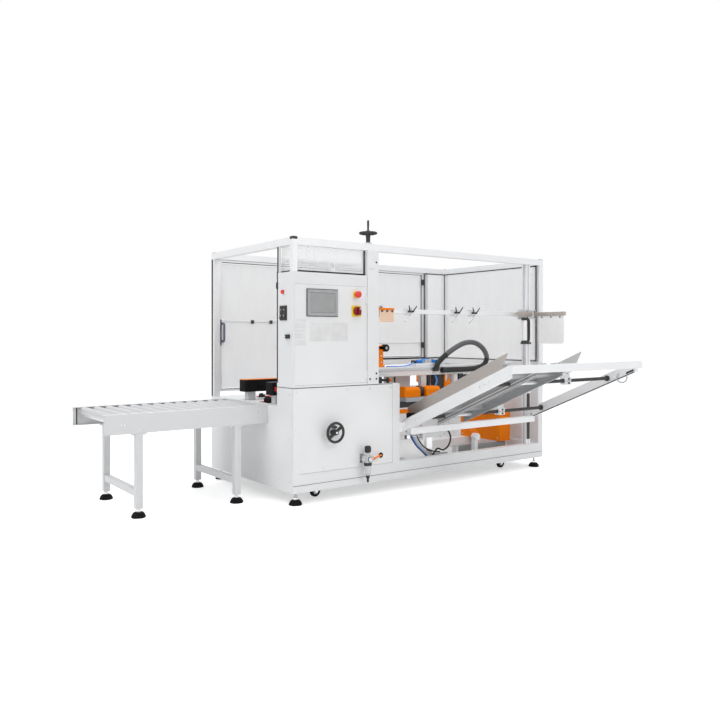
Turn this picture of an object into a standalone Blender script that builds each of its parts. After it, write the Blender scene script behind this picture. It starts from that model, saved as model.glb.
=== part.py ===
"""A carton erecting and bottom-sealing machine: a guarded body with a control cabinet, an inclined
magazine for flat carton blanks at the front, and a gravity roller conveyor at the outfeed.

Lengths are in metres. The machine frame has its origin on the floor under the front left corner of
the body, with X along the machine, Y towards its back and Z up. The empty "machine" shifts that
frame, so that the world's origin is under the middle of the whole object.
"""

import math

import bmesh
import bpy
from mathutils import Matrix, Vector

# Clearances
GAP = 0.0003  # between two pieces that are fastened together
RUN = 0.0006  # between a moving piece and what guides it
LEAF_GAP = 0.0008  # round a hinged leaf

# Body
BODY_LENGTH = 2.05
BODY_DEPTH = 1.00
BODY_HEIGHT = 1.45
BODY_BOTTOM = 0.07
SHEET = 0.002  # cladding
RING_HEIGHT = 0.10
RING_WIDTH = 0.05
POST = 0.045
FRONT_POST_START = 0.69
FRONT_POST_END = 0.745
DECK_TOP = 0.636  # what the cabinet stands on
TRACK_TOP = 0.53  # what the cartons run on
TRACK_PLATE = 0.012
RAIL_TOP = 0.738  # middle rails under the right end and back glazing
RAIL = 0.04
TRAY_TOP = 0.118
TRAY = 0.003
DOOR_SPLIT = 0.90  # between the two back doors

# Guards
GUARD_PROFILE = 0.04
GLAZING = 0.004
SPLIT_POST_START = 1.79
LEFT_DOOR_BOTTOM = 0.56
RIGHT_DOOR_BOTTOM = 0.745
LEAF = 0.03  # width and depth of a door's frame
HANDLE_HEIGHT = 0.94
HANDLE_LENGTH = 0.13

# Control cabinet
CABINET_WIDTH = 0.50
CABINET_DEPTH = 0.165
CABINET_TOP = 1.265
CABINET_WALL = 0.012
DOOR_TOP = 1.20
DOOR_BOTTOM = 0.65
DOOR_THICK = 0.018
SCREEN = (0.19, 1.10)  # middle of the touch screen, X and Z
SCREEN_SIZE = (0.207, 0.152)
SCREEN_PROUD = 0.008
STOP_PLACE = (0.421, 1.153)
SWITCH_PLACE = (0.421, 1.059)
SWITCH_PLATE = 0.062

# Column and its hand wheel
COLUMN_START = 0.503
COLUMN_END = 0.585
COLUMN_DEPTH = 0.06
TOP_WHEEL_PLACE = (0.530, 0.030)
TOP_WHEEL_HEIGHT = 1.515
TOP_WHEEL_RADIUS = 0.054
TOP_GRIP_TOP = 1.59

# Side hand wheel and air unit on the front panel
SIDE_WHEEL_PLACE = (0.252, 0.385)
SIDE_WHEEL_RADIUS = 0.060
SIDE_WHEEL_REACH = 0.055
AIR_UNIT_PLACE = 0.475
AIR_UNIT_TOP = 0.292
AIR_UNIT_BOTTOM = 0.086
AIR_UNIT_REACH = 0.040

# Magazine: its upper surface falls towards the body
MAGAZINE_LEFT = 0.78
MAGAZINE_RIGHT = 1.924
MAGAZINE_FRONT = -0.82
MAGAZINE_TOP = 0.767
MAGAZINE_SLOPE = 0.43
MAGAZINE_RAIL = 0.03
MAGAZINE_RAIL_HEIGHT = 0.065
LEFT_RAIL_END = 0.02
RIGHT_RAIL_END = 0.006
FRONT_BEAM_DEPTH = 0.03
FRONT_BEAM_HEIGHT = 0.042
UPPER_ROD = -0.629
LOWER_ROD = -0.114
ROD_RADIUS = 0.010
ROD_DROP = 0.030  # rod's middle below the magazine's upper surface
BED_START = 1.00
BED_END = 1.23
BED_CROSSINGS = (-0.74, -0.22)
BED_SKIRT = 0.012
BED_DROP = 0.062  # skirts' lower edge below the magazine's upper surface
GUIDE_TIP = -0.75
GUIDE_HEIGHT = 0.093
GUIDE_SHEET = 0.004
FIXED_GUIDE = 0.85
MOVING_GUIDE = 1.47
SADDLE = 0.044

# Hold-down bar and its guide post
GUIDE_POST_START = 1.885
GUIDE_POST_WIDTH = 0.04
GUIDE_POST_FRONT = 0.010
BAR_HEIGHT = 1.065
BAR_SIZE = 0.026
BOARD_DROP = 0.20
BOARD_FRONT = -0.27
BOARD_BACK = -0.06
ARM_FRONT = -0.28
ARM_BACK = 0.156

# Inside
BEAM_FRONT = 0.26
BEAM_BACK = 0.34
BEAM_BOTTOM = 0.66
BEAM_TOP = 0.72
ARM_PLACE = 0.836
ARM_TOP = 0.865
ARM_REACH = 0.035
PUSHER_START = 1.10
PUSHER_LENGTH = 0.22
PUSHER_PLATE = 0.075  # from the carriage's end to the plate
PUSHER_BOTTOM = 0.585
PUSHER_BACK = 0.60
DRIVE_BOX = ((1.79, 0.167, 0.18), (1.897, 0.552, 0.378))
SKID_START = 1.40  # left ends of the two skids under the drive box
BELT_START = 0.02
BELT_END = 0.62
BELT_BOTTOM = 0.589
BELT_TOP = 0.655
BELT_THICK = 0.085
NEAR_BELT = 0.25
FAR_BELT = 0.575
TAPE_SLOT = ((0.045, 0.345), (0.42, 0.475))
TAPE_UNIT_TOP = 0.56
CONDUIT_RADIUS = 0.0175

# Outfeed conveyor
CONVEYOR_LENGTH = 0.913
CONVEYOR_FRONT = 0.27
CONVEYOR_BACK = 0.82
CONVEYOR_TOP = 0.527
CONVEYOR_RAIL_HEIGHT = 0.10
CONVEYOR_FLANGE = 0.030
CONVEYOR_SHEET = 0.003
ROLLER_COUNT = 13
ROLLER_PITCH = 0.0678
ROLLER_RADIUS = 0.025
AXLE_RADIUS = 0.0055
AXLE_HOLE_RADIUS = 0.0064
LEG = 0.035
LEG_PLACES = {"outer": -0.735, "inner": -0.185}
LEG_BAR_BOTTOM = 0.105
LEG_BOTTOM = 0.045

# Feet and casters
FOOT_RADIUS = 0.036
FOOT_INSET = 0.045
STEM_RADIUS = 0.007
CASTER_PLACES = {"front_left": (0.20, 0.11), "front_right": (1.72, 0.11),
                 "rear_left": (0.20, 0.89), "rear_right": (1.72, 0.89)}
CASTER_WHEEL_RADIUS = 0.033
CASTER_WHEEL_WIDTH = 0.022
CASTER_AXLE_HEIGHT = 0.044
CASTER_TRAIL = 0.014

WHITE = ("white_paint", (0.86, 0.87, 0.88), 0.35, 0.0)
ALUMINIUM = ("aluminium", (0.74, 0.75, 0.77), 0.35, 1.0)
STEEL = ("steel", (0.55, 0.53, 0.51), 0.30, 1.0)
BLACK = ("black_plastic", (0.03, 0.03, 0.03), 0.45, 0.0)
RUBBER = ("rubber", (0.02, 0.02, 0.02), 0.75, 0.0)
ORANGE = ("orange_paint", (0.95, 0.38, 0.03), 0.35, 0.0)
RED = ("red_plastic", (0.80, 0.04, 0.03), 0.30, 0.0)
GREY = ("grey_plastic", (0.42, 0.44, 0.48), 0.40, 0.0)
CLEAR = ("clear_acrylic", (0.88, 0.90, 0.91), 0.08, 0.0)


def bed_height(y):
    """Height of the magazine's upper surface at a distance along Y."""
    return MAGAZINE_TOP - MAGAZINE_SLOPE * (y - MAGAZINE_FRONT)


# ---------------------------------------------------------------- shapes

def clear_scene():
    """Removes what the startup file holds."""
    for obj in list(bpy.data.objects):
        bpy.data.objects.remove(obj)


def material(finish):
    """The Principled material of a finish, made once."""
    name, colour, roughness, metallic = finish
    if name in bpy.data.materials:
        return bpy.data.materials[name]
    made = bpy.data.materials.new(name)
    made.use_nodes = True
    shader = made.node_tree.nodes["Principled BSDF"]
    shader.inputs["Base Color"].default_value = (*colour, 1.0)
    shader.inputs["Roughness"].default_value = roughness
    shader.inputs["Metallic"].default_value = metallic
    return made


def mesh_object(name, build):
    """An object whose mesh is filled by build(bm), in the machine frame."""
    mesh = bpy.data.meshes.new(name)
    bm = bmesh.new()
    build(bm)
    bm.to_mesh(mesh)
    bm.free()
    obj = bpy.data.objects.new(name, mesh)
    parts.objects.link(obj)
    return obj


def block(low, high, name="piece"):
    """A box between two corners."""
    low, high = Vector(low), Vector(high)
    place = Matrix.Translation((low + high) / 2) @ Matrix.Diagonal((*(high - low), 1))
    return mesh_object(name, lambda bm: bmesh.ops.create_cube(bm, size=1, matrix=place))


def rod(start, end, radius, sides=12, end_radius=None, name="piece"):
    """A cylinder, or a cone where end_radius is given, between two points."""
    start, end = Vector(start), Vector(end)
    run = end - start
    place = Matrix.Translation((start + end) / 2) @ run.to_track_quat("Z", "Y").to_matrix().to_4x4()
    return mesh_object(name, lambda bm: bmesh.ops.create_cone(
        bm, cap_ends=True, segments=sides, radius1=radius,
        radius2=radius if end_radius is None else end_radius, depth=run.length, matrix=place))


def baked(obj, name="piece", weld=0.00001):
    """A mesh object holding what obj evaluates to, its loose caps welded; obj is removed."""
    bpy.context.view_layer.update()
    graph = bpy.context.evaluated_depsgraph_get()
    mesh = bpy.data.meshes.new_from_object(obj.evaluated_get(graph), depsgraph=graph)
    bm = bmesh.new()
    bm.from_mesh(mesh)
    bm.transform(obj.matrix_world)
    if weld:
        bmesh.ops.remove_doubles(bm, verts=bm.verts, dist=weld)
    bm.to_mesh(mesh)
    bm.free()
    bpy.data.objects.remove(obj)
    made = bpy.data.objects.new(name, mesh)
    parts.objects.link(made)
    return made


# Columns that carry an outline's own plane to the plane across an axis
PLANES = {"X": Matrix(((0, 0, 1), (1, 0, 0), (0, 1, 0))).to_4x4(),
          "Y": Matrix(((1, 0, 0), (0, 0, -1), (0, 1, 0))).to_4x4(),
          "Z": Matrix.Identity(4)}


def plate(axis, start, end, outline, name="piece"):
    """A flat outline extruded along an axis: its points are (Y, Z), (X, Z) or (X, Y)."""
    curve = bpy.data.curves.new(name, "CURVE")
    curve.dimensions = "2D"
    curve.fill_mode = "BOTH"
    curve.extrude = (end - start) / 2
    spline = curve.splines.new("POLY")
    spline.points.add(len(outline) - 1)
    for point, place in zip(spline.points, outline):
        point.co = (*place, 0, 1)
    spline.use_cyclic_u = True
    obj = bpy.data.objects.new(name, curve)
    parts.objects.link(obj)
    middle = Vector([(start + end) / 2 if axis == letter else 0 for letter in "XYZ"])
    obj.matrix_world = Matrix.Translation(middle) @ PLANES[axis]
    return baked(obj, name)


def turned(profile, place, towards=(0, 0, 1), steps=16, name="piece"):
    """A turned solid: profile is (radius, height) from its top to its bottom, about towards."""
    mesh = bpy.data.meshes.new(name)
    points = [(radius, 0, height) for radius, height in profile]
    mesh.from_pydata(points, [(i, i + 1) for i in range(len(points) - 1)], [])
    obj = bpy.data.objects.new(name, mesh)
    parts.objects.link(obj)
    screw = obj.modifiers.new("turn", "SCREW")
    screw.steps = steps
    screw.render_steps = steps
    screw.use_merge_vertices = True
    screw.merge_threshold = 0.00001
    turn = Vector(towards).to_track_quat("Z", "Y").to_matrix().to_4x4()
    obj.matrix_world = Matrix.Translation(place) @ turn
    return baked(obj, name)


def tube(points, radius, name="piece"):
    """A round tube along a smooth line through points."""
    curve = bpy.data.curves.new(name, "CURVE")
    curve.dimensions = "3D"
    curve.bevel_depth = radius
    curve.bevel_resolution = 2
    curve.use_fill_caps = True
    spline = curve.splines.new("POLY")
    spline.points.add(len(points) - 1)
    for point, place in zip(spline.points, points):
        point.co = (*place, 1)
    obj = bpy.data.objects.new(name, curve)
    parts.objects.link(obj)
    return baked(obj, name)


def boolean(target, other, operation):
    """Target after a Boolean with other, which is removed.

    The solver is MANIFOLD, because EXACT leaves open edges where many tubes share a face.
    """
    modifier = target.modifiers.new(operation.lower(), "BOOLEAN")
    modifier.operation = operation
    modifier.solver = "MANIFOLD"
    modifier.object = other
    made = baked(target, weld=0)
    bpy.data.objects.remove(other)
    return made


def fused(pieces):
    """One solid from pieces that overlap."""
    made = pieces[0]
    for piece in pieces[1:]:
        made = boolean(made, piece, "UNION")
    return made


def drilled(target, cutters):
    """Target with cutters taken out of it."""
    for cutter in cutters:
        target = boolean(target, cutter, "DIFFERENCE")
    return target


def node(name, obj, finish, pivot=None):
    """Names a finished piece, gives it its material, and puts its origin at pivot or its middle."""
    obj.name = name
    obj.data.name = name
    obj.data.materials.clear()
    obj.data.materials.append(material(finish))
    corners = [Vector(corner) for corner in obj.bound_box]
    place = Vector(pivot) if pivot else (corners[0] + corners[6]) / 2
    obj.data.transform(Matrix.Translation(-place))
    obj.location = place
    obj.data.shade_smooth()
    obj.data.set_sharp_from_angle(angle=math.radians(35))
    obj.parent = machine
    return obj


def sloped(start, end, front, back, top, bottom):
    """A bar along the magazine between two X, its faces at heights above the magazine's surface."""
    return plate("X", start, end, [
        (front, bed_height(front) + bottom), (back, bed_height(back) + bottom),
        (back, bed_height(back) + top), (front, bed_height(front) + top)])


# ---------------------------------------------------------------- feet and casters

def levelling_foot(name, x, y, top):
    """A rubber pad with its threaded stem up to the frame."""
    node(name, turned([
        (0, top - GAP), (STEM_RADIUS, top - GAP), (STEM_RADIUS, 0.040), (0.014, 0.040),
        (0.014, 0.030), (FOOT_RADIUS * 0.62, 0.026), (FOOT_RADIUS * 0.93, 0.014), (FOOT_RADIUS, 0.005),
        (FOOT_RADIUS, 0), (0, 0)], (x, y, 0)), RUBBER)


def caster_fork(place):
    """A swivel fork under the tray, its axle trailing behind the swivel."""
    x, y = place
    top = TRAY_TOP - TRAY - GAP
    cheek = CASTER_WHEEL_WIDTH / 2 + RUN
    axle = x + CASTER_TRAIL
    pieces = [rod((x, y, top), (x, y, top - 0.012), 0.024, 16),
              block((x - 0.016, y - cheek - 0.004, top - 0.016), (axle + 0.014, y + cheek + 0.004, top - 0.010))]
    pieces += [block((axle - 0.012, side, CASTER_AXLE_HEIGHT - 0.010), (axle + 0.012, side + 0.004, top - 0.012))
               for side in (y - cheek - 0.004, y + cheek)]
    return fused(pieces)


def caster_wheel(place):
    """A wheel that turns between the fork's cheeks."""
    x, y = place
    half = CASTER_WHEEL_WIDTH / 2
    middle = Vector((x + CASTER_TRAIL, y, CASTER_AXLE_HEIGHT))
    reach = Vector((0, half, 0))
    return rod(middle - reach, middle + reach, CASTER_WHEEL_RADIUS, 20)


def build_casters():
    """Front casters have their own wheels; the rear ones are one solid each."""
    for name, place in CASTER_PLACES.items():
        fork = caster_fork(place)
        wheel = caster_wheel(place)
        if name.startswith("rear"):
            axle = Vector((place[0] + CASTER_TRAIL, place[1], CASTER_AXLE_HEIGHT))
            reach = Vector((0, CASTER_WHEEL_WIDTH / 2 + 0.002, 0))
            node(f"caster_{name}", fused([fork, wheel, rod(axle - reach, axle + reach, 0.006)]), GREY,
                 (*place, TRAY_TOP))
        else:
            node(f"caster_fork_{name}", fork, GREY, (*place, TRAY_TOP))
            node(f"caster_wheel_{name}", wheel, RUBBER,
                 (place[0] + CASTER_TRAIL, place[1], CASTER_AXLE_HEIGHT))


def build_feet():
    """Four feet under the body and four under the conveyor."""
    for side, x in (("left", FOOT_INSET), ("right", BODY_LENGTH - FOOT_INSET)):
        for end, y in (("front", FOOT_INSET), ("rear", BODY_DEPTH - FOOT_INSET)):
            levelling_foot(f"foot_{end}_{side}", x, y, BODY_BOTTOM)
    for leg, x in LEG_PLACES.items():
        for end, y in (("front", CONVEYOR_FRONT + LEG / 2), ("rear", CONVEYOR_BACK - LEG / 2)):
            levelling_foot(f"conveyor_foot_{leg}_{end}", x, y, LEG_BOTTOM)


# ---------------------------------------------------------------- conveyor

def roller_places():
    """Rollers' X, spaced evenly along the conveyor."""
    first = -CONVEYOR_LENGTH / 2 - ROLLER_PITCH * (ROLLER_COUNT - 1) / 2
    return [first + i * ROLLER_PITCH for i in range(ROLLER_COUNT)]


def conveyor_rail(outer, inwards):
    """A channel along the conveyor, open towards the rollers."""
    inner = outer + inwards * CONVEYOR_FLANGE
    web = outer + inwards * CONVEYOR_SHEET
    low, high = CONVEYOR_TOP - CONVEYOR_RAIL_HEIGHT, CONVEYOR_TOP
    outline = [(outer, low), (inner, low), (inner, low + CONVEYOR_SHEET), (web, low + CONVEYOR_SHEET),
               (web, high - CONVEYOR_SHEET), (inner, high - CONVEYOR_SHEET), (inner, high), (outer, high)]
    if inwards < 0:
        outline.reverse()
    return plate("X", -CONVEYOR_LENGTH, -GAP, outline)


def build_conveyor():
    """Two rails with cross ties, the rollers and two H-shaped legs."""
    axle_height = CONVEYOR_TOP - ROLLER_RADIUS
    rails = [conveyor_rail(CONVEYOR_FRONT, 1), conveyor_rail(CONVEYOR_BACK, -1)]
    tie_low = CONVEYOR_TOP - CONVEYOR_RAIL_HEIGHT
    ties = [block((x - LEG / 2, CONVEYOR_FRONT + 0.001, tie_low), (x + LEG / 2, CONVEYOR_BACK - 0.001, tie_low + 0.025))
            for x in LEG_PLACES.values()]
    frame = fused(rails + ties)
    holes = [rod((x, outer - 0.01, axle_height), (x, outer + 0.01, axle_height), AXLE_HOLE_RADIUS, 8)
             for x in roller_places() for outer in (CONVEYOR_FRONT, CONVEYOR_BACK)]
    node("conveyor_frame", drilled(frame, holes), WHITE)
    shell = CONVEYOR_SHEET + 0.004
    for number, x in enumerate(roller_places(), 1):
        length = CONVEYOR_BACK - CONVEYOR_FRONT
        half = length / 2 - shell - CONVEYOR_FLANGE
        end = length / 2 - 0.0005
        middle = ((CONVEYOR_FRONT + CONVEYOR_BACK) / 2)
        profile = [(0, end), (AXLE_RADIUS, end), (AXLE_RADIUS, half), (ROLLER_RADIUS, half),
                   (ROLLER_RADIUS, -half), (AXLE_RADIUS, -half), (AXLE_RADIUS, -end), (0, -end)]
        place = (x, middle, axle_height)
        node(f"roller_{number:02d}", turned(profile, place, (0, 1, 0), 16), ALUMINIUM, place)
    top = CONVEYOR_TOP - CONVEYOR_RAIL_HEIGHT - GAP
    for name, x in LEG_PLACES.items():
        low, high = x - LEG / 2, x + LEG / 2
        posts = [block((low, y, LEG_BOTTOM), (high, y + LEG, top))
                 for y in (CONVEYOR_FRONT, CONVEYOR_BACK - LEG)]
        bar = block((low + 0.002, CONVEYOR_FRONT + LEG / 2, LEG_BAR_BOTTOM),
                    (high - 0.002, CONVEYOR_BACK - LEG / 2, LEG_BAR_BOTTOM + LEG))
        plates = [block((low - 0.022, y, top - 0.005), (high + 0.022, y + LEG - 0.004, top))
                  for y in (CONVEYOR_FRONT + 0.002, CONVEYOR_BACK - LEG + 0.002)]
        node(f"conveyor_leg_{name}", fused(posts + [bar] + plates), WHITE)


# ---------------------------------------------------------------- body

def build_base_frame():
    """The welded frame: bottom ring, posts, deck and middle rails, tray, track plates and cross beam."""
    low = SHEET + GAP
    left, right, back = low, BODY_LENGTH - low, BODY_DEPTH - low
    ring_top = BODY_BOTTOM + RING_HEIGHT
    front_band = (low, low + POST)
    rear_band = (back - POST, back)
    pieces = [block((left, low, BODY_BOTTOM), (right, low + RING_WIDTH, ring_top)),
              block((left, back - RING_WIDTH, BODY_BOTTOM), (right, back, ring_top)),
              block((left, low, BODY_BOTTOM), (left + RING_WIDTH, back, ring_top)),
              block((right - RING_WIDTH, low, BODY_BOTTOM), (right, back, ring_top)),
              block((left + 0.02, low + 0.02, TRAY_TOP - TRAY), (right - 0.02, back - 0.02, TRAY_TOP))]
    deck_low = DECK_TOP - POST
    rail_low = RAIL_TOP - RAIL
    track_low = TRACK_TOP - RAIL
    posts = [(left, left + POST, front_band, DECK_TOP),
             (FRONT_POST_START, FRONT_POST_END, front_band, DECK_TOP),
             (right - POST, right, front_band, RAIL_TOP),
             (left, left + POST, rear_band, TRACK_TOP),
             (DOOR_SPLIT, DOOR_SPLIT + POST, rear_band, RAIL_TOP),
             (right - POST, right, rear_band, RAIL_TOP)]
    pieces += [block((x0, y0, ring_top - 0.02), (x1, y1, top)) for x0, x1, (y0, y1), top in posts]
    pieces += [block((left, low, deck_low), (FRONT_POST_END, low + POST, DECK_TOP)),
               block((left, low, deck_low), (left + POST, CABINET_DEPTH, DECK_TOP)),
               block((left, CABINET_DEPTH - POST, track_low), (left + POST, CABINET_DEPTH, DECK_TOP)),
               block((left, CABINET_DEPTH - POST, track_low), (left + POST, back, TRACK_TOP)),
               block((FRONT_POST_START, low, track_low), (FRONT_POST_END, back, TRACK_TOP)),
               block((left, back - POST, track_low), (DOOR_SPLIT + POST, back, TRACK_TOP)),
               block((DOOR_SPLIT, back - POST, rail_low), (right, back, RAIL_TOP)),
               block((right - POST, low, rail_low), (right, back, RAIL_TOP))]
    (slot_left, slot_front), (slot_right, slot_back) = TAPE_SLOT
    plate_low = TRACK_TOP - TRACK_PLATE
    pieces += [block((left + 0.01, CABINET_DEPTH - 0.02, plate_low), (FRONT_POST_END, slot_front, TRACK_TOP)),
               block((left + 0.01, slot_back, plate_low), (FRONT_POST_END, back - 0.01, TRACK_TOP)),
               block((slot_right, slot_front - 0.01, plate_low), (FRONT_POST_END, slot_back + 0.01, TRACK_TOP))]
    pieces += [block((FRONT_POST_START, BEAM_FRONT, TRACK_TOP - 0.02), (FRONT_POST_END, BEAM_BACK, BEAM_TOP - 0.01)),
               block((FRONT_POST_START, BEAM_FRONT, BEAM_BOTTOM), (right - 0.01, BEAM_BACK, BEAM_TOP))]
    box_low, box_high = DRIVE_BOX
    pieces += [block((SKID_START, y, TRAY_TOP - 0.001), (box_high[0], y + RAIL, box_low[2] - GAP))
               for y in (box_low[1] + 0.03, box_high[1] - 0.03 - RAIL)]
    pieces += [block((x - 0.03, y - 0.03, TRAY_TOP - TRAY - GAP / 3), (x + 0.03, y + 0.03, TRAY_TOP + 0.004))
               for x, y in CASTER_PLACES.values()]
    node("base_frame", fused(pieces), WHITE)


def build_cladding():
    """The front sheet, and the folded sheet round the left end, back and right end."""
    panel_low = BODY_BOTTOM + RING_HEIGHT + 0.002
    node("front_panel", block((0.003, 0, panel_low), (FRONT_POST_START - 0.002, SHEET, DECK_TOP - 0.002)), WHITE)
    low = BODY_BOTTOM + 0.001
    left = plate("X", 0, SHEET, [(0.003, low), (BODY_DEPTH, low), (BODY_DEPTH, TRACK_TOP - 0.001),
                                 (CABINET_DEPTH, TRACK_TOP - 0.001), (CABINET_DEPTH, DECK_TOP - 0.002),
                                 (0.003, DECK_TOP - 0.002)])
    back = block((0, BODY_DEPTH - SHEET, low), (BODY_LENGTH, BODY_DEPTH, TRACK_TOP - 0.001))
    right = block((BODY_LENGTH - SHEET, 0.003, low), (BODY_LENGTH, BODY_DEPTH, RAIL_TOP - 0.001))
    node("lower_cladding", fused([left, back, right]), WHITE)


def build_guards():
    """The guard frame on the body, its glazing and the two back doors."""
    top, low = BODY_HEIGHT, BODY_HEIGHT - GUARD_PROFILE
    size = GUARD_PROFILE
    right, back = BODY_LENGTH, BODY_DEPTH
    pieces = [block((0, 0, low), (right, size, top)), block((0, back - size, low), (right, back, top)),
              block((0, 0, low), (size, back, top)), block((right - size, 0, low), (right, back, top)),
              block((0, 0, CABINET_TOP + GAP), (0.03, 0.03, low + 0.01)),
              block((right - size, 0.0, RAIL_TOP + GAP), (right, size, low + 0.01)),
              block((right - size, back - size, RAIL_TOP + GAP), (right, back, low + 0.01)),
              block((0, back - size, TRACK_TOP + GAP), (size, back, low + 0.01)),
              block((DOOR_SPLIT, back - size, RAIL_TOP + GAP), (DOOR_SPLIT + size, back, low + 0.01)),
              block((SPLIT_POST_START, back - size, RAIL_TOP + GAP), (SPLIT_POST_START + size, back, low + 0.01))]
    node("guard_frame", fused(pieces), ALUMINIUM)
    inner_x, inner_y = right - size - GAP, back - size - GAP
    rest = RAIL_TOP + GAP
    glass = [block((inner_x - GLAZING, size / 2, rest), (inner_x, inner_y, low - GAP)),
             block((SPLIT_POST_START + 0.002, inner_y - GLAZING, rest), (inner_x, inner_y, low - GAP))]
    node("end_glazing", fused(glass), CLEAR)
    window = 0.03 + GAP
    post_start = COLUMN_START - 0.002
    panes = [block((window, window, CABINET_TOP + GAP), (post_start, window + GLAZING, low - GAP)),
             block((window, window, CABINET_TOP + GAP), (window + GLAZING, CABINET_DEPTH, low - GAP))]
    node("head_window", fused(panes), CLEAR)
    doors = (("left", size, DOOR_SPLIT, LEFT_DOOR_BOTTOM), ("right", DOOR_SPLIT + size, SPLIT_POST_START, RIGHT_DOOR_BOTTOM))
    for name, start, end, bottom in doors:
        node(f"guard_door_{name}", back_door(start + 0.003, end - LEAF_GAP, bottom, low - 0.003), CLEAR,
             (end - LEAF_GAP / 2, back, (bottom + low) / 2))


def back_door(start, end, bottom, top):
    """A glazed leaf with a frame round it and a pull handle near its free side."""
    front, back = BODY_DEPTH - LEAF - 0.004, BODY_DEPTH - 0.001
    pieces = [block((start, front, bottom), (start + LEAF, back, top)), block((end - LEAF, front, bottom), (end, back, top)),
              block((start, front, bottom), (end, back, bottom + LEAF)), block((start, front, top - LEAF), (end, back, top)),
              block((start + LEAF / 2, front + 0.012, bottom + LEAF / 2),
                    (end - LEAF / 2, front + 0.012 + GLAZING, top - LEAF / 2))]
    grip, half = start + LEAF / 2, HANDLE_LENGTH / 2
    reach = front - 0.035
    pieces += [block((grip - 0.008, reach, HANDLE_HEIGHT - half), (grip + 0.008, reach + 0.012, HANDLE_HEIGHT + half))]
    pieces += [block((grip - 0.008, reach, z - 0.009), (grip + 0.008, front + 0.002, z + 0.009))
               for z in (HANDLE_HEIGHT - half + 0.009, HANDLE_HEIGHT + half - 0.009)]
    return fused(pieces)


# ---------------------------------------------------------------- cabinet and column

def build_cabinet():
    """The control cabinet with its hinged door and the controls on it."""
    low, top = DECK_TOP + GAP, CABINET_TOP
    wall = CABINET_WALL
    outer = block((0, 0, low), (CABINET_WIDTH, CABINET_DEPTH, top))
    recess = block((wall, -0.01, DOOR_BOTTOM), (CABINET_WIDTH - wall / 2, DOOR_THICK + RUN, DOOR_TOP))
    hollow = block((wall, 0.001, DOOR_BOTTOM + wall),
                   (CABINET_WIDTH - wall, CABINET_DEPTH - wall, DOOR_TOP - wall))
    node("control_cabinet", drilled(outer, [recess, hollow]), WHITE)
    hinge = CABINET_WIDTH - wall / 2 - LEAF_GAP
    door = block((wall + LEAF_GAP, 0.0, DOOR_BOTTOM + LEAF_GAP), (hinge, DOOR_THICK, DOOR_TOP - LEAF_GAP))
    door = drilled(door, [rod((x, -0.01, z), (x, 0.03, z), 0.0112, 12) for x, z in (STOP_PLACE, SWITCH_PLACE)])
    node("cabinet_door", door, WHITE, (hinge, 0, (DOOR_TOP + DOOR_BOTTOM) / 2))
    x, z = SCREEN
    half_w, half_h = SCREEN_SIZE[0] / 2, SCREEN_SIZE[1] / 2
    node("touch_screen", block((x - half_w, -SCREEN_PROUD, z - half_h), (x + half_w, -GAP, z + half_h)), GREY)
    x, z = STOP_PLACE
    node("emergency_stop", turned([
        (0, 0.034), (0.012, 0.034), (0.020, 0.028), (0.020, 0.016), (0.010, 0.014), (0.010, -0.014),
        (0, -0.014)], (x, 0, z), (0, -1, 0)), RED, (x, 0, z))
    x, z = SWITCH_PLACE
    grip = block((x - 0.007, -0.042, z - 0.024), (x + 0.007, -0.020, z + 0.024))
    hub = turned([(0, 0.024), (0.024, 0.024), (0.026, 0.010), (0.010, 0.010), (0.010, -0.014), (0, -0.014)],
                 (x, 0, z), (0, -1, 0))
    node("main_switch", fused([hub, grip]), RED, (x, 0, z))


def build_column():
    """The white column beside the cabinet, and the hand wheel above it."""
    low, high = DECK_TOP + GAP, BODY_HEIGHT - GUARD_PROFILE - GAP
    node("column", block((COLUMN_START, 0.0, low), (COLUMN_END, COLUMN_DEPTH, high)), WHITE)
    x, y = TOP_WHEEL_PLACE
    hub, rim = 0.012, TOP_WHEEL_RADIUS
    height = TOP_WHEEL_HEIGHT
    node("top_handwheel", turned([
        (0, TOP_GRIP_TOP), (0.006, TOP_GRIP_TOP), (0.008, height + 0.012), (rim - 0.014, height + 0.006),
        (rim - 0.006, height + 0.010), (rim, height + 0.004), (rim, height - 0.004), (rim - 0.006, height - 0.008),
        (rim - 0.014, height - 0.004), (hub, height - 0.012), (hub, BODY_HEIGHT + GAP), (0, BODY_HEIGHT + GAP)],
        (x, y, 0), steps=20), BLACK, (x, y, height))


def build_front_fittings():
    """The side hand wheel and the air filter regulator on the front panel."""
    x, z = SIDE_WHEEL_PLACE
    rim, reach = SIDE_WHEEL_RADIUS, SIDE_WHEEL_REACH
    wheel = turned([
        (0, reach), (0.014, reach), (0.016, reach - 0.012), (rim - 0.012, reach - 0.016), (rim - 0.008, reach - 0.008),
        (rim, reach - 0.014), (rim, reach - 0.022), (rim - 0.006, reach - 0.028), (rim - 0.014, reach - 0.022),
        (0.016, reach - 0.024), (0.014, GAP), (0, GAP)], (x, 0, z), (0, -1, 0), 20)
    grip = (x - 0.030, z + 0.034)
    handle = rod((grip[0], -reach + 0.020, grip[1]), (grip[0], -reach - 0.045, grip[1]), 0.009, 10)
    node("side_handwheel", fused([wheel, handle]), BLACK, (x, 0, z))
    x, y, top = AIR_UNIT_PLACE, -AIR_UNIT_REACH, AIR_UNIT_TOP
    body = turned([
        (0, top), (0.017, top), (0.018, top - 0.035), (0.013, top - 0.042), (0.013, top - 0.055), (0.024, top - 0.056),
        (0.024, top - 0.096), (0.019, top - 0.098), (0.019, top - 0.165), (0.012, top - 0.182), (0.007, top - 0.186),
        (0.007, AIR_UNIT_BOTTOM), (0, AIR_UNIT_BOTTOM)], (x, y, 0))
    head = block((x - 0.036, y - 0.020, top - 0.092), (x + 0.036, y + 0.020, top - 0.060))
    bracket = block((x - 0.015, y, top - 0.090), (x + 0.015, -GAP, top - 0.062))
    node("air_unit", fused([body, head, bracket]), GREY)


# ---------------------------------------------------------------- magazine

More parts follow.
